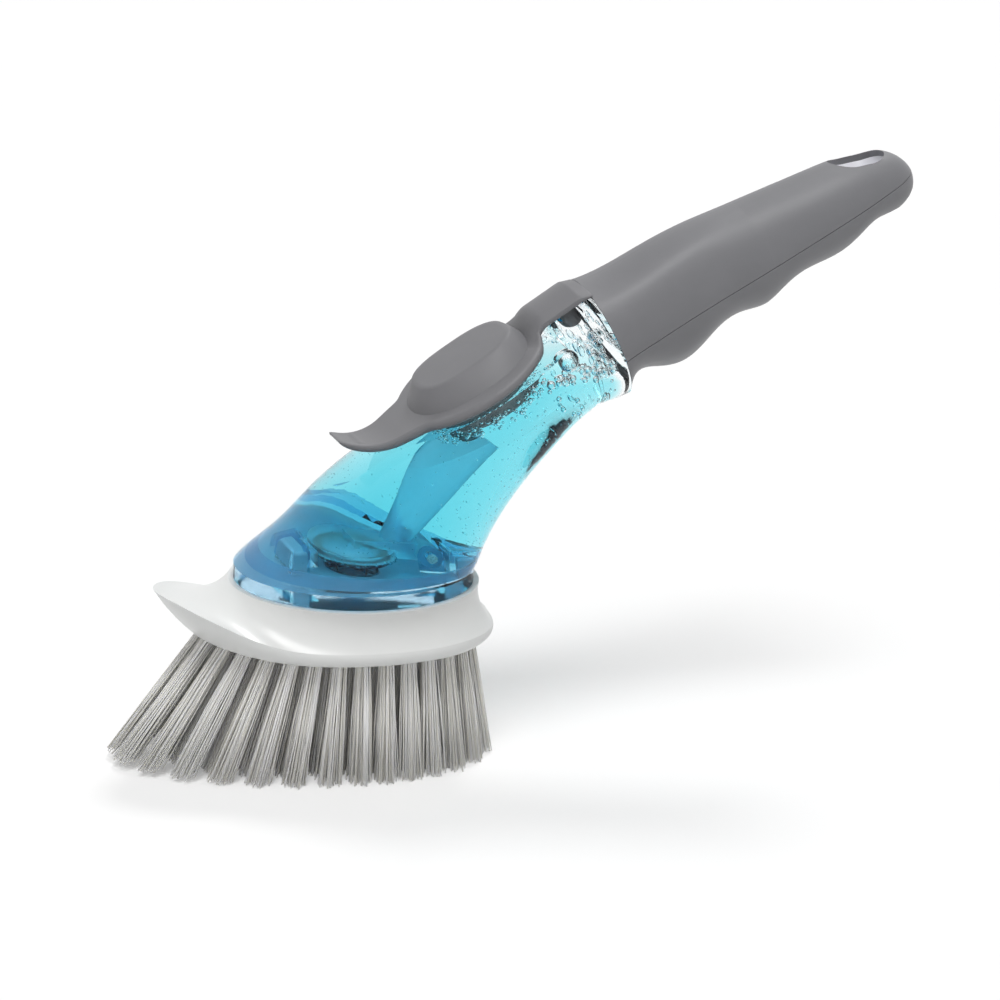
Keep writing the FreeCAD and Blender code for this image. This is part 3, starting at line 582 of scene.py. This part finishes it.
NEARLY_NOTHING = 1e-6      # keeps a division from failing


def lid_outline(turn):
    """Distance from the middle of the mouth to the lid's edge: disc, tapering tab and strap."""
    along = math.cos(turn)
    across = abs(math.sin(turn))
    if along > 0:
        limb = min(SEAM_S / along, STRAP_WIDTH / max(across, NEARLY_NOTHING))
    else:
        limb = tab_reach(-along, across)
    return soft_max(LID_R, limb, OUTLINE_BLEND)


def tab_reach(along, across):
    """Reach of the tab's tapering outline along a direction."""
    slope = (TAB_ROOT_WIDTH - TAB_TIP_WIDTH) / (TAB_TIP - LID_R)
    side = (TAB_ROOT_WIDTH + slope * LID_R) / (across + slope * along)
    end = TAB_TIP / max(along, NEARLY_NOTHING)
    return -soft_max(-side, -end, TAB_CORNER)


def soft_max(a, b, width):
    """Larger of two lengths, with a rounded change from one to the other."""
    share = smoothstep(-1, 1, (a - b) / width)
    return b + (a - b) * share + width * share * (1 - share) * 0.5


def lid_middle(s, y):
    """Height of the middle of the lid's thickness, half of that thickness, and the edge's rounding."""
    rim_middle = (LID_FACE + LID_UNDER) / 2
    half = (LID_FACE - LID_UNDER) / 2
    curl = max(0.0, -s - TAB_FLAT)
    lift = TAB_CURL_R - math.sqrt(max(TAB_CURL_R ** 2 - curl ** 2, 0.0))
    half *= 1 - TAB_THINNING * smoothstep(TAB_THIN_FROM, TAB_THIN_TO, -s)
    crown = STRAP_CROWN_R - math.sqrt(STRAP_CROWN_R ** 2 - min(abs(y), STRAP_WIDTH) ** 2)
    end_share = max(0.0, s - STRAP_CORNER_S) / (SEAM_S - STRAP_CORNER_S)
    top = STRAP_TOP - crown - (STRAP_TOP - STRAP_END) * end_share
    strap_half = max((top - STRAP_SEAT) / 2, STRAP_THIN)
    strap_middle = top - strap_half
    rise = smoothstep(RISE_START, RISE_END, s - RISE_FLARE * max(0.0, abs(y) - STRAP_WIDTH))
    middle = (rim_middle + lift) * (1 - rise) + strap_middle * rise
    edge_round = EDGE_ROUND + (STRAP_ROUND - EDGE_ROUND) * rise
    return middle, half * (1 - rise) + strap_half * rise, edge_round


def finger_ridge(s, y):
    """Height of the low ridge across the tab that a finger pulls on."""
    across = max(0.0, 1 - (abs(s + RIDGE_S) / RIDGE_WIDTH) ** 2)
    return RIDGE_HEIGHT * across * (1 - smoothstep(RIDGE_REACH - RIDGE_FADE, RIDGE_REACH, abs(y)))


def lid_skin():
    """Top and underside of the lid with its tab and strap."""
    points = []
    for side in (1, -1):
        for ring in range(LID_RINGS + 1):
            share = ring / LID_RINGS
            inset = 1 - (1 - share) ** RING_CROWDING
            for k in range(LID_SPOKES):
                turn = 2 * math.pi * k / LID_SPOKES
                edge = lid_outline(turn)
                reach = edge * inset
                s = reach * math.cos(turn)
                y = reach * math.sin(turn)
                middle, half, edge_round = lid_middle(s, y)
                depth = min(1.0, (edge - reach) / edge_round)
                bulge = math.sqrt(max(0.0, 1 - (1 - depth) ** 2))
                height = middle + side * half * bulge
                if side > 0:
                    height += finger_ridge(s, y)
                points.append(lid_point(s, y, height))
    layer = (LID_RINGS + 1) * LID_SPOKES
    top = ring_faces(LID_RINGS + 1, LID_SPOKES)
    bottom = [tuple(reversed(f)) for f in ring_faces(LID_RINGS + 1, LID_SPOKES, layer)]
    skin = mesh_piece("lid_skin", points, top + bottom, LID)
    weld(skin)
    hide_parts("lid_plate", "strap_anchor")
    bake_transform(skin)


def weld(piece):
    """Joins points that lie together and turns all faces outwards."""
    work = bmesh.new()
    work.from_mesh(piece.data)
    bmesh.ops.remove_doubles(work, verts=work.verts, dist=1e-6)
    bmesh.ops.recalc_face_normals(work, faces=work.faces)
    work.to_mesh(piece.data)
    work.free()


DOME_BASE = (18.6 * MM, 17.4 * MM)
DOME_FACET = (14.2 * MM, 10.8 * MM)
DOME_BASE_FULLNESS = 2.1   # exponents of the two outlines: 2 is an ellipse
DOME_FACET_FULLNESS = 2.7
DOME_SHIFT = 0.8 * MM     # the facet lies this far towards the handle
DOME_HEIGHT = 9.3 * MM
DOME_CROWN = 0.35 * MM
DOME_SINK = 1.2 * MM      # its foot lies below the lid's face
DOME_SPOKES = 128
DOME_RINGS = 14
FACET_RINGS = 10
DOME_STRAIGHT = 0.72      # share of the side that is a straight slope, which leaves a soft crease


def full_ellipse(turn, sizes, fullness):
    """Reach of a squarish ellipse along a direction."""
    along = abs(math.cos(turn) / sizes[0]) ** fullness
    across = abs(math.sin(turn) / sizes[1]) ** fullness
    return (along + across) ** (-1 / fullness)


def button_dome():
    """Soft skin of the push button: a sloping side and a flat facet for the thumb."""
    points = []
    rings = []
    for ring in range(DOME_RINGS + 1):
        share = ring / DOME_RINGS
        rise = DOME_STRAIGHT * share + (1 - DOME_STRAIGHT) * (1 - (1 - share) ** 2)
        height = LID_FACE - DOME_SINK + (DOME_HEIGHT - LID_FACE + DOME_SINK) * rise
        rings.append((share, 1.0, height))
    for ring in range(1, FACET_RINGS + 1):
        share = ring / FACET_RINGS
        rings.append((1.0, 1 - share, DOME_HEIGHT + DOME_CROWN * (1 - (1 - share) ** 2)))
    for facet_share, scale, height in rings:
        for k in range(DOME_SPOKES):
            turn = 2 * math.pi * k / DOME_SPOKES
            foot = full_ellipse(turn, DOME_BASE, DOME_BASE_FULLNESS)
            facet = full_ellipse(turn, DOME_FACET, DOME_FACET_FULLNESS)
            reach = (foot + (facet - foot) * facet_share) * scale
            s = DOME_SHIFT * facet_share + reach * math.cos(turn)
            points.append(lid_point(s, reach * math.sin(turn), height))
    dome = mesh_piece("button_dome", points, ring_faces(len(rings), DOME_SPOKES), LID)
    weld(dome)
    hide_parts("dome_skirt", "button_cap")
    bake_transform(dome)


def turned_points(profile, spokes, middle_s):
    """Rings of points round an axis square to the lid, from a profile of radii and heights."""
    points = []
    for radius, height in profile:
        for k in range(spokes):
            turn = 2 * math.pi * k / spokes
            s = middle_s + radius * math.cos(turn)
            points.append(lid_point(s, radius * math.sin(turn), height))
    return points


PLUG_R = 15.3 * MM
PLUG_WALL = 1.6 * MM
PLUG_DEPTH = 5.8 * MM     # below the deck
PLUG_SPOKES = 96
PLUG_ROUND = 0.7 * MM
PLUG_ROUND_STEPS = 8
PLUG_ROOT = 0.5 * MM      # it starts this far inside the lid


def plug_skirt():
    """Skirt under the lid that drops into the mouth, rounded at its lower edge."""
    inner = PLUG_R - PLUG_WALL
    middle = PLUG_R - PLUG_WALL / 2
    root = LID_UNDER + PLUG_ROOT
    profile = [(PLUG_R, root), (PLUG_R, -PLUG_DEPTH + PLUG_ROUND)]
    for step in range(1, PLUG_ROUND_STEPS):
        turn = math.pi * step / PLUG_ROUND_STEPS
        profile.append((middle + PLUG_WALL / 2 * math.cos(turn),
                        -PLUG_DEPTH + PLUG_ROUND - PLUG_ROUND * math.sin(turn)))
    profile += [(inner, -PLUG_DEPTH + PLUG_ROUND), (inner, root)]
    points = turned_points(profile, PLUG_SPOKES, 0.0)
    skirt = mesh_piece("plug_skirt", points, ring_faces(len(profile), PLUG_SPOKES), LID)
    weld(skirt)
    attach(skirt, "lid")
    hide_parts("lid_plug")


STRAP_PLUG_S = FOLD_S + 7.0 * MM  # middle of the plug, behind the fold
STRAP_PLUG_R = 3.5 * MM
STRAP_PLUG_END = -2.6 * MM
STRAP_PLUG_ROUND = 0.8 * MM
STRAP_PLUG_ROUND_STEPS = 6
STRAP_PLUG_SPOKES = 48


def strap_plug():
    """Plug under the strap that goes through the reservoir's wall, with a rounded end."""
    profile = [(STRAP_PLUG_R, STRAP_SEAT + STRAP_THIN)]
    for step in range(STRAP_PLUG_ROUND_STEPS + 1):
        turn = math.pi / 2 * step / STRAP_PLUG_ROUND_STEPS
        profile.append((STRAP_PLUG_R - STRAP_PLUG_ROUND * (1 - math.cos(turn)),
                        STRAP_PLUG_END + STRAP_PLUG_ROUND * (1 - math.sin(turn))))
    profile.append((0.0, STRAP_PLUG_END))
    points = turned_points(profile, STRAP_PLUG_SPOKES, STRAP_PLUG_S)
    plug = mesh_piece("strap_plug", points, ring_faces(len(profile), STRAP_PLUG_SPOKES), LID)
    weld(plug)
    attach(plug, "reservoir")


lid_skin()
button_dome()
plug_skirt()
strap_plug()


# Reservoir: plastic and liquid bend light almost alike, so only the outer skin is left to bend it

CAVITY = ("reservoir_shell", "lid_plug", "lid_plate", "dome_skirt", "button_cap")
SKIN_STEP = 0.02 * MM
ROOMY = 12.0 * MM         # behind an outer face the walls lie further apart than this


def faces_out(tree, start, direction):
    """True for an outer face: nothing lies in front of it, or a roomy cavity lies behind it."""
    if tree.ray_cast(start - direction * SKIN_STEP, -direction)[0] is None:
        return True
    first = None
    place = start
    while True:
        hit = tree.ray_cast(place + direction * SKIN_STEP, direction)
        if hit[0] is None:
            return False
        place = hit[0]
        first = first or place
        if (place - first).length > ROOMY:
            return True


def reservoir_skin():
    """Outer faces of the reservoir: behind these lies the cavity and then the far wall."""
    tree = walls_tree("reservoir_base", *CAVITY)
    work = bmesh.new()
    work.from_mesh(nodes["reservoir_shell"].data)
    inner = []
    for face in work.faces:
        if not faces_out(tree, face.calc_center_median(), -face.normal):
            inner.append(face)
    bmesh.ops.delete(work, geom=inner, context="FACES")
    mesh = nodes["reservoir_shell"].data.copy()
    work.to_mesh(mesh)
    work.free()
    skin = bpy.data.objects.new("reservoir_skin", mesh)
    bpy.context.scene.collection.objects.link(skin)
    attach(skin, "reservoir")
    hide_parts("reservoir_shell")


# Hang slot: the white core comes up to the grey skin all round the slot

LINER_SKIN = 1.5 * MM     # thickness of the grey skin over the core
LINER_WALL = 0.5 * MM
LINER_PROUD = 0.06 * MM
LINER_POINTS = 96
PROBE_HEIGHT = 30.0 * MM  # the handle's surface is felt for from this far away


def slot_liner():
    """Face of the white core on the walls of the hang slot."""
    mount = next(m for m in frame["record"]["mounts"] if m["name"] == "hang_slot")
    middle = Vector(mount["pos_m"])
    axis = Vector(mount["axis"])
    along = Vector((0, 1, 0)).cross(axis)
    radius = mount["dims"]["hole_r_mm"] * MM
    straight = mount["dims"]["slot_length_mm"] * MM / 2 - radius
    upper = walls_tree("handle_upper")
    lower = walls_tree("handle_lower")
    high = axis * PROBE_HEIGHT
    rings = [[], [], [], []]
    for k in range(LINER_POINTS):
        turn = 2 * math.pi * k / LINER_POINTS
        out = along * math.cos(turn) + Vector((0, math.sin(turn), 0))
        centre = middle + along * math.copysign(straight, math.cos(turn))
        probe = centre + out * (radius + LINER_WALL)
        top = upper.ray_cast(probe + high, -axis)[0] - axis * LINER_SKIN
        bottom = lower.ray_cast(probe - high, axis)[0] + axis * LINER_SKIN
        inward = out * (LINER_WALL + LINER_PROUD)
        for ring, point in zip(rings, (top, top - inward, bottom - inward, bottom)):
            ring.append(point)
    points = [point for ring in rings + rings[:1] for point in ring]
    liner = mesh_piece("slot_liner", points, ring_faces(len(rings) + 1, LINER_POINTS), CORE)
    weld(liner)
    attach(liner, "reservoir")


# Washing-up liquid in the reservoir, with its bubbles and foam

SOAP_FLOOR = 50.95 * MM
SOAP_LEVEL = 101.0 * MM
SOAP_TOP = -0.6 * MM      # over the deck: the liquid stays inside the filler mouth
SOAP_OVERLAP = 0.12 * MM  # the liquid reaches this far into the wall, so no air film shows
SOAP_PROBE = 0.3 * MM     # the walls are felt for at least this far over the floor
SOAP_LEVELS = 46
SOAP_SPOKES = 144
SPINE_SLOPE = 1.1         # how fast the middle of the hollow moves towards the handle with height

# Bubbles: how many, and their least and largest radius
FINE_BUBBLES = 560
FINE_R = (0.10 * MM, 0.22 * MM)
SURFACE_BUBBLES = 120
SURFACE_R = (0.15 * MM, 0.75 * MM)
VALVE_BUBBLES = 64
VALVE_BUBBLE_R = (0.25 * MM, 0.6 * MM)
PLUG_BUBBLES = 420
PLUG_BUBBLE_R = (0.15 * MM, 0.62 * MM)
LARGE_BUBBLE_R = 0.5 * MM  # larger ones have finer faces
WALL_CLEARANCE = 2.5      # gap between a bubble's middle and the wall, in radii
END_LEVELS = 3            # the lowest and highest levels have no fine bubbles
FINE_SHARE = (0.6, 1.0)   # square of the share of the way from the middle to the wall
SURFACE_LEVELS = 8        # the levels under the surface that hold more bubbles
SURFACE_SHARE = (0.75, 1.0)
PLUG_BUBBLE_GAP = (0.5 * MM, 2.6 * MM)    # from the plug
PLUG_BUBBLE_DEPTH = (3.2 * MM, 7.2 * MM)  # below the deck


def spine(z):
    return Vector(((z - SOAP_FLOOR) * SPINE_SLOPE, 0, z))


def wall_reach(tree, z, turn):
    direction = Vector((math.cos(turn), math.sin(turn), 0))
    hit = tree.ray_cast(spine(z), direction)
    return hit[3]


def liquid_reach(tree, z, turn):
    """Distance from the spine to the wall, or to the plane of the filler mouth where that is nearer."""
    direction = Vector((math.cos(turn), math.sin(turn), 0))
    reach = wall_reach(tree, z, turn)
    climb = direction.dot(LID_NORMAL)
    if climb <= 0:
        return reach
    room = SOAP_TOP - (spine(z) - LID_ORIGIN).dot(LID_NORMAL)
    return min(reach, room / climb)


def sphere(middle, radius, detail):
    """Points and faces of a bubble of air: a small ball whose faces look inwards."""
    work = bmesh.new()
    bmesh.ops.create_icosphere(work, subdivisions=detail, radius=radius,
                               matrix=Matrix.Translation(middle))
    bmesh.ops.reverse_faces(work, faces=work.faces)
    points = [v.co.copy() for v in work.verts]
    faces = [tuple(v.index for v in face.verts) for face in work.faces]
    work.free()
    return points, faces


def add_part(points, faces, more_points, more_faces):
    start = len(points)
    points += more_points
    faces += [tuple(start + i for i in face) for face in more_faces]


def soap():
    """The liquid: rings along the walls, level by level. Also returns what the bubbles need."""
    tree = walls_tree(*CAVITY)
    step = (SOAP_LEVEL - SOAP_FLOOR) / (SOAP_LEVELS - 1)
    heights = [SOAP_FLOOR + step * i for i in range(SOAP_LEVELS)]
    turns = [2 * math.pi * k / SOAP_SPOKES for k in range(SOAP_SPOKES)]
    points = []
    reaches = []
    for z in heights:
        level = max(z, SOAP_FLOOR + SOAP_PROBE)
        row = [liquid_reach(tree, level, turn) for turn in turns]
        reaches.append(row)
        for turn, reach in zip(turns, row):
            out = Vector((math.cos(turn), math.sin(turn), 0)) * (reach + SOAP_OVERLAP)
            points.append(spine(z) + out)
    faces = ring_faces(SOAP_LEVELS, SOAP_SPOKES)
    faces.append(tuple(reversed(range(SOAP_SPOKES))))
    top = (SOAP_LEVELS - 1) * SOAP_SPOKES
    faces.append(tuple(range(top, top + SOAP_SPOKES)))
    liquid = mesh_piece("soap", points, faces, SOAP)
    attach(liquid, "reservoir")
    return heights, turns, reaches


def soap_bubbles(heights, turns, reaches):
    """All bubbles in the liquid, as one piece."""
    rng = random.Random(7)
    points = []
    faces = []
    for middle, radius in bubble_places(rng, heights, turns, reaches):
        add_part(points, faces, *sphere(middle, radius, 2 if radius > LARGE_BUBBLE_R else 1))
    skins = mesh_piece("soap_bubbles", points, faces, SOAP_FACE)
    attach(skins, "reservoir")


def bubble_places(rng, heights, turns, reaches):
    """Fine bubbles through the liquid, and more of them under its surface and at the walls."""
    places = []

    def inside(level, share, turn_index, radius):
        reach = (reaches[level][turn_index] - WALL_CLEARANCE * radius) * share
        out = Vector((math.cos(turns[turn_index]), math.sin(turns[turn_index]), 0)) * reach
        return spine(heights[level]) + out

    for _ in range(FINE_BUBBLES):
        level = rng.randrange(END_LEVELS, SOAP_LEVELS - END_LEVELS)
        radius = rng.uniform(*FINE_R)
        share = math.sqrt(rng.uniform(*FINE_SHARE))
        places.append((inside(level, share, rng.randrange(SOAP_SPOKES), radius), radius))
    for _ in range(SURFACE_BUBBLES):
        level = rng.randrange(SOAP_LEVELS - SURFACE_LEVELS, SOAP_LEVELS - 1)
        radius = rng.uniform(*SURFACE_R)
        share = rng.uniform(*SURFACE_SHARE)
        places.append((inside(level, share, rng.randrange(SOAP_SPOKES), radius), radius))
    places += clinging_bubbles(rng)
    return places


VALVE_RING_R = 9.6 * MM
VALVE_RING_Z = 52.2 * MM
VALVE_REACH_SPREAD = 0.5 * MM
VALVE_TURN_SPREAD = 0.03  # radians
VALVE_LIFT = 0.9 * MM     # the highest of these bubbles over the ring


def clinging_bubbles(rng):
    """Air that clings under the valve's disc and round the lid's plug."""
    places = []
    for k in range(VALVE_BUBBLES):
        turn = 2 * math.pi * k / VALVE_BUBBLES + rng.uniform(-VALVE_TURN_SPREAD, VALVE_TURN_SPREAD)
        reach = VALVE_RING_R + rng.uniform(-VALVE_REACH_SPREAD, VALVE_REACH_SPREAD)
        lift = VALVE_RING_Z + rng.uniform(0, VALVE_LIFT)
        places.append((Vector((reach * math.cos(turn), reach * math.sin(turn), lift)),
                       rng.uniform(*VALVE_BUBBLE_R)))
    for _ in range(PLUG_BUBBLES):
        turn = rng.uniform(0, 2 * math.pi)
        reach = PLUG_R + rng.uniform(*PLUG_BUBBLE_GAP)
        depth = -rng.uniform(*PLUG_BUBBLE_DEPTH)
        middle = lid_point(reach * math.cos(turn), reach * math.sin(turn), depth)
        if middle.z < SOAP_LEVEL:
            places.append((middle, rng.uniform(*PLUG_BUBBLE_R)))
    return places


FOAM_BUBBLES = 150
FOAM_DEPTH = 9.0 * MM
FOAM_R = (0.35 * MM, 1.3 * MM)
FOAM_RAFT = 2.0 * MM      # bubbles lower than this float anywhere, higher ones cling to the wall
FOAM_ARC = 2.2            # to both sides of the handle's direction, in radians
FOAM_SHARE = (0.55, 1.0)  # share of the way from the middle to the wall
FOAM_CLEARANCE = 1.05     # gap between a bubble's middle and the wall, in radii

# One large bubble under the lid's near edge
AIR_POCKET = lid_point(21.5 * MM, -13.5 * MM, -3.8 * MM)
AIR_POCKET_R = 2.9 * MM


def foam():
    """Bubbles that float on the liquid and cling to the neck's wall above it."""
    tree = walls_tree(*CAVITY)
    rng = random.Random(11)
    points = []
    faces = []
    for _ in range(FOAM_BUBBLES):
        rise = FOAM_DEPTH * rng.random() ** 2
        z = SOAP_LEVEL + rise
        turn = rng.uniform(-FOAM_ARC, FOAM_ARC)
        radius = rng.uniform(*FOAM_R)
        reach = wall_reach(tree, z, turn)
        if reach is None:
            continue
        share = rng.uniform(*FOAM_SHARE) if rise < FOAM_RAFT else 1.0
        out = Vector((math.cos(turn), math.sin(turn), 0)) * (reach - radius * FOAM_CLEARANCE) * share
        add_part(points, faces, *sphere(spine(z) + out, radius, 2))
    add_part(points, faces, *sphere(AIR_POCKET, AIR_POCKET_R, 4))
    film = mesh_piece("foam", points, faces, SOAP_FACE)
    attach(film, "reservoir")


reservoir_skin()
slot_liner()
soap_bubbles(*soap())
foam()


# Studio: pale floor, soft lights, white surroundings

FLOOR_SIZE = 60.0
FLOOR_GLOW = 0.27         # the floor's own brightness, for the camera, mirrors and clear plastic
KEY_FROM = Vector((-18, -58, 154))
KEY_STRENGTH = 1.6
KEY_SPREAD = math.radians(24)
RIM_FROM = Vector((0.45, 0.55, 1.15))
RIM_STRENGTH = 0.85
RIM_SPREAD = math.radians(13)
FILL_PLACE = Vector((-0.75, -1.15, 0.45))
FILL_POWER = 3.0
FILL_SIZE = 1.6
WORLD_LIGHT = 0.30


def camera_ray_factor(tree):
    """1 for rays that the camera, a mirror or clear plastic sends out, 0 for the rest."""
    path = tree.nodes.new("ShaderNodeLightPath")
    total = path.outputs["Is Camera Ray"]
    for name in ("Is Glossy Ray", "Is Transmission Ray"):
        total = calculate(tree, "MAXIMUM", total, path.outputs[name])
    return total


def studio_floor():
    """Plain pale floor that takes the shadow."""
    half = FLOOR_SIZE / 2
    corners = [(-half, -half, 0), (half, -half, 0), (half, half, 0), (-half, half, 0)]
    material, tree, shader = new_material("floor_white")
    tone(tree, shader, FLOOR_WHITE, noise(tree, 3.0), 0.002)
    shader.inputs["Roughness"].default_value = 0.9
    shader.inputs["Specular IOR Level"].default_value = 0.1
    glow = tree.nodes.new("ShaderNodeEmission")
    glow_share = calculate(tree, "MULTIPLY", camera_ray_factor(tree), FLOOR_GLOW)
    tree.links.new(glow_share, glow.inputs["Strength"])
    both = tree.nodes.new("ShaderNodeAddShader")
    tree.links.new(shader.outputs["BSDF"], both.inputs[0])
    tree.links.new(glow.outputs["Emission"], both.inputs[1])
    tree.links.new(both.outputs["Shader"], tree.nodes["Material Output"].inputs["Surface"])
    mesh_piece("floor", corners, [(0, 1, 2, 3)], material)


def aimed_lamp(light, place):
    lamp = bpy.data.objects.new(light.name, light)
    lamp.location = place
    lamp.rotation_euler = (CAMERA_TARGET - place).to_track_quat("-Z", "Y").to_euler()
    bpy.context.scene.collection.objects.link(lamp)


def distant_light(name, direction, strength, spread):
    """Far softbox: it lights the whole floor evenly."""
    light = bpy.data.lights.new(name, "SUN")
    light.energy = strength
    light.angle = spread
    aimed_lamp(light, CAMERA_TARGET + direction.normalized())


def area_light(name, place, power, size):
    light = bpy.data.lights.new(name, "AREA")
    light.energy = power
    light.size = size
    aimed_lamp(light, place)


def white_world():
    """Surroundings that look white but give the object only soft light."""
    world = bpy.data.worlds.new("studio")
    bpy.context.scene.world = world
    world.use_nodes = True
    tree = world.node_tree
    strength = tree.nodes.new("ShaderNodeMapRange")
    strength.inputs["To Min"].default_value = WORLD_LIGHT
    strength.inputs["To Max"].default_value = 1.0
    background = tree.nodes["Background"]
    background.inputs["Color"].default_value = (1, 1, 1, 1)
    tree.links.new(camera_ray_factor(tree), strength.inputs["Value"])
    tree.links.new(strength.outputs["Result"], background.inputs["Strength"])


def camera():
    flat = math.cos(CAMERA_ELEVATION)
    back = Vector((math.sin(CAMERA_AZIMUTH) * flat, -math.cos(CAMERA_AZIMUTH) * flat,
                   math.sin(CAMERA_ELEVATION)))
    data = bpy.data.cameras.new("camera")
    data.sensor_width = 36.0
    data.lens = data.sensor_width / 2 / math.tan(FIELD_OF_VIEW / 2)
    eye = bpy.data.objects.new("camera", data)
    bpy.context.scene.collection.objects.link(eye)
    turn = (-back).to_track_quat("-Z", "Y").to_matrix() @ Matrix.Rotation(CAMERA_LEAN, 3, "Z")
    eye.matrix_world = Matrix.Translation(CAMERA_TARGET + back * CAMERA_DISTANCE) @ turn.to_4x4()
    bpy.context.scene.camera = eye


studio_floor()
distant_light("key", KEY_FROM, KEY_STRENGTH, KEY_SPREAD)
distant_light("rim", RIM_FROM, RIM_STRENGTH, RIM_SPREAD)
area_light("fill", FILL_PLACE, FILL_POWER, FILL_SIZE)
white_world()
camera()
bpy.context.scene.view_settings.view_transform = "Standard"
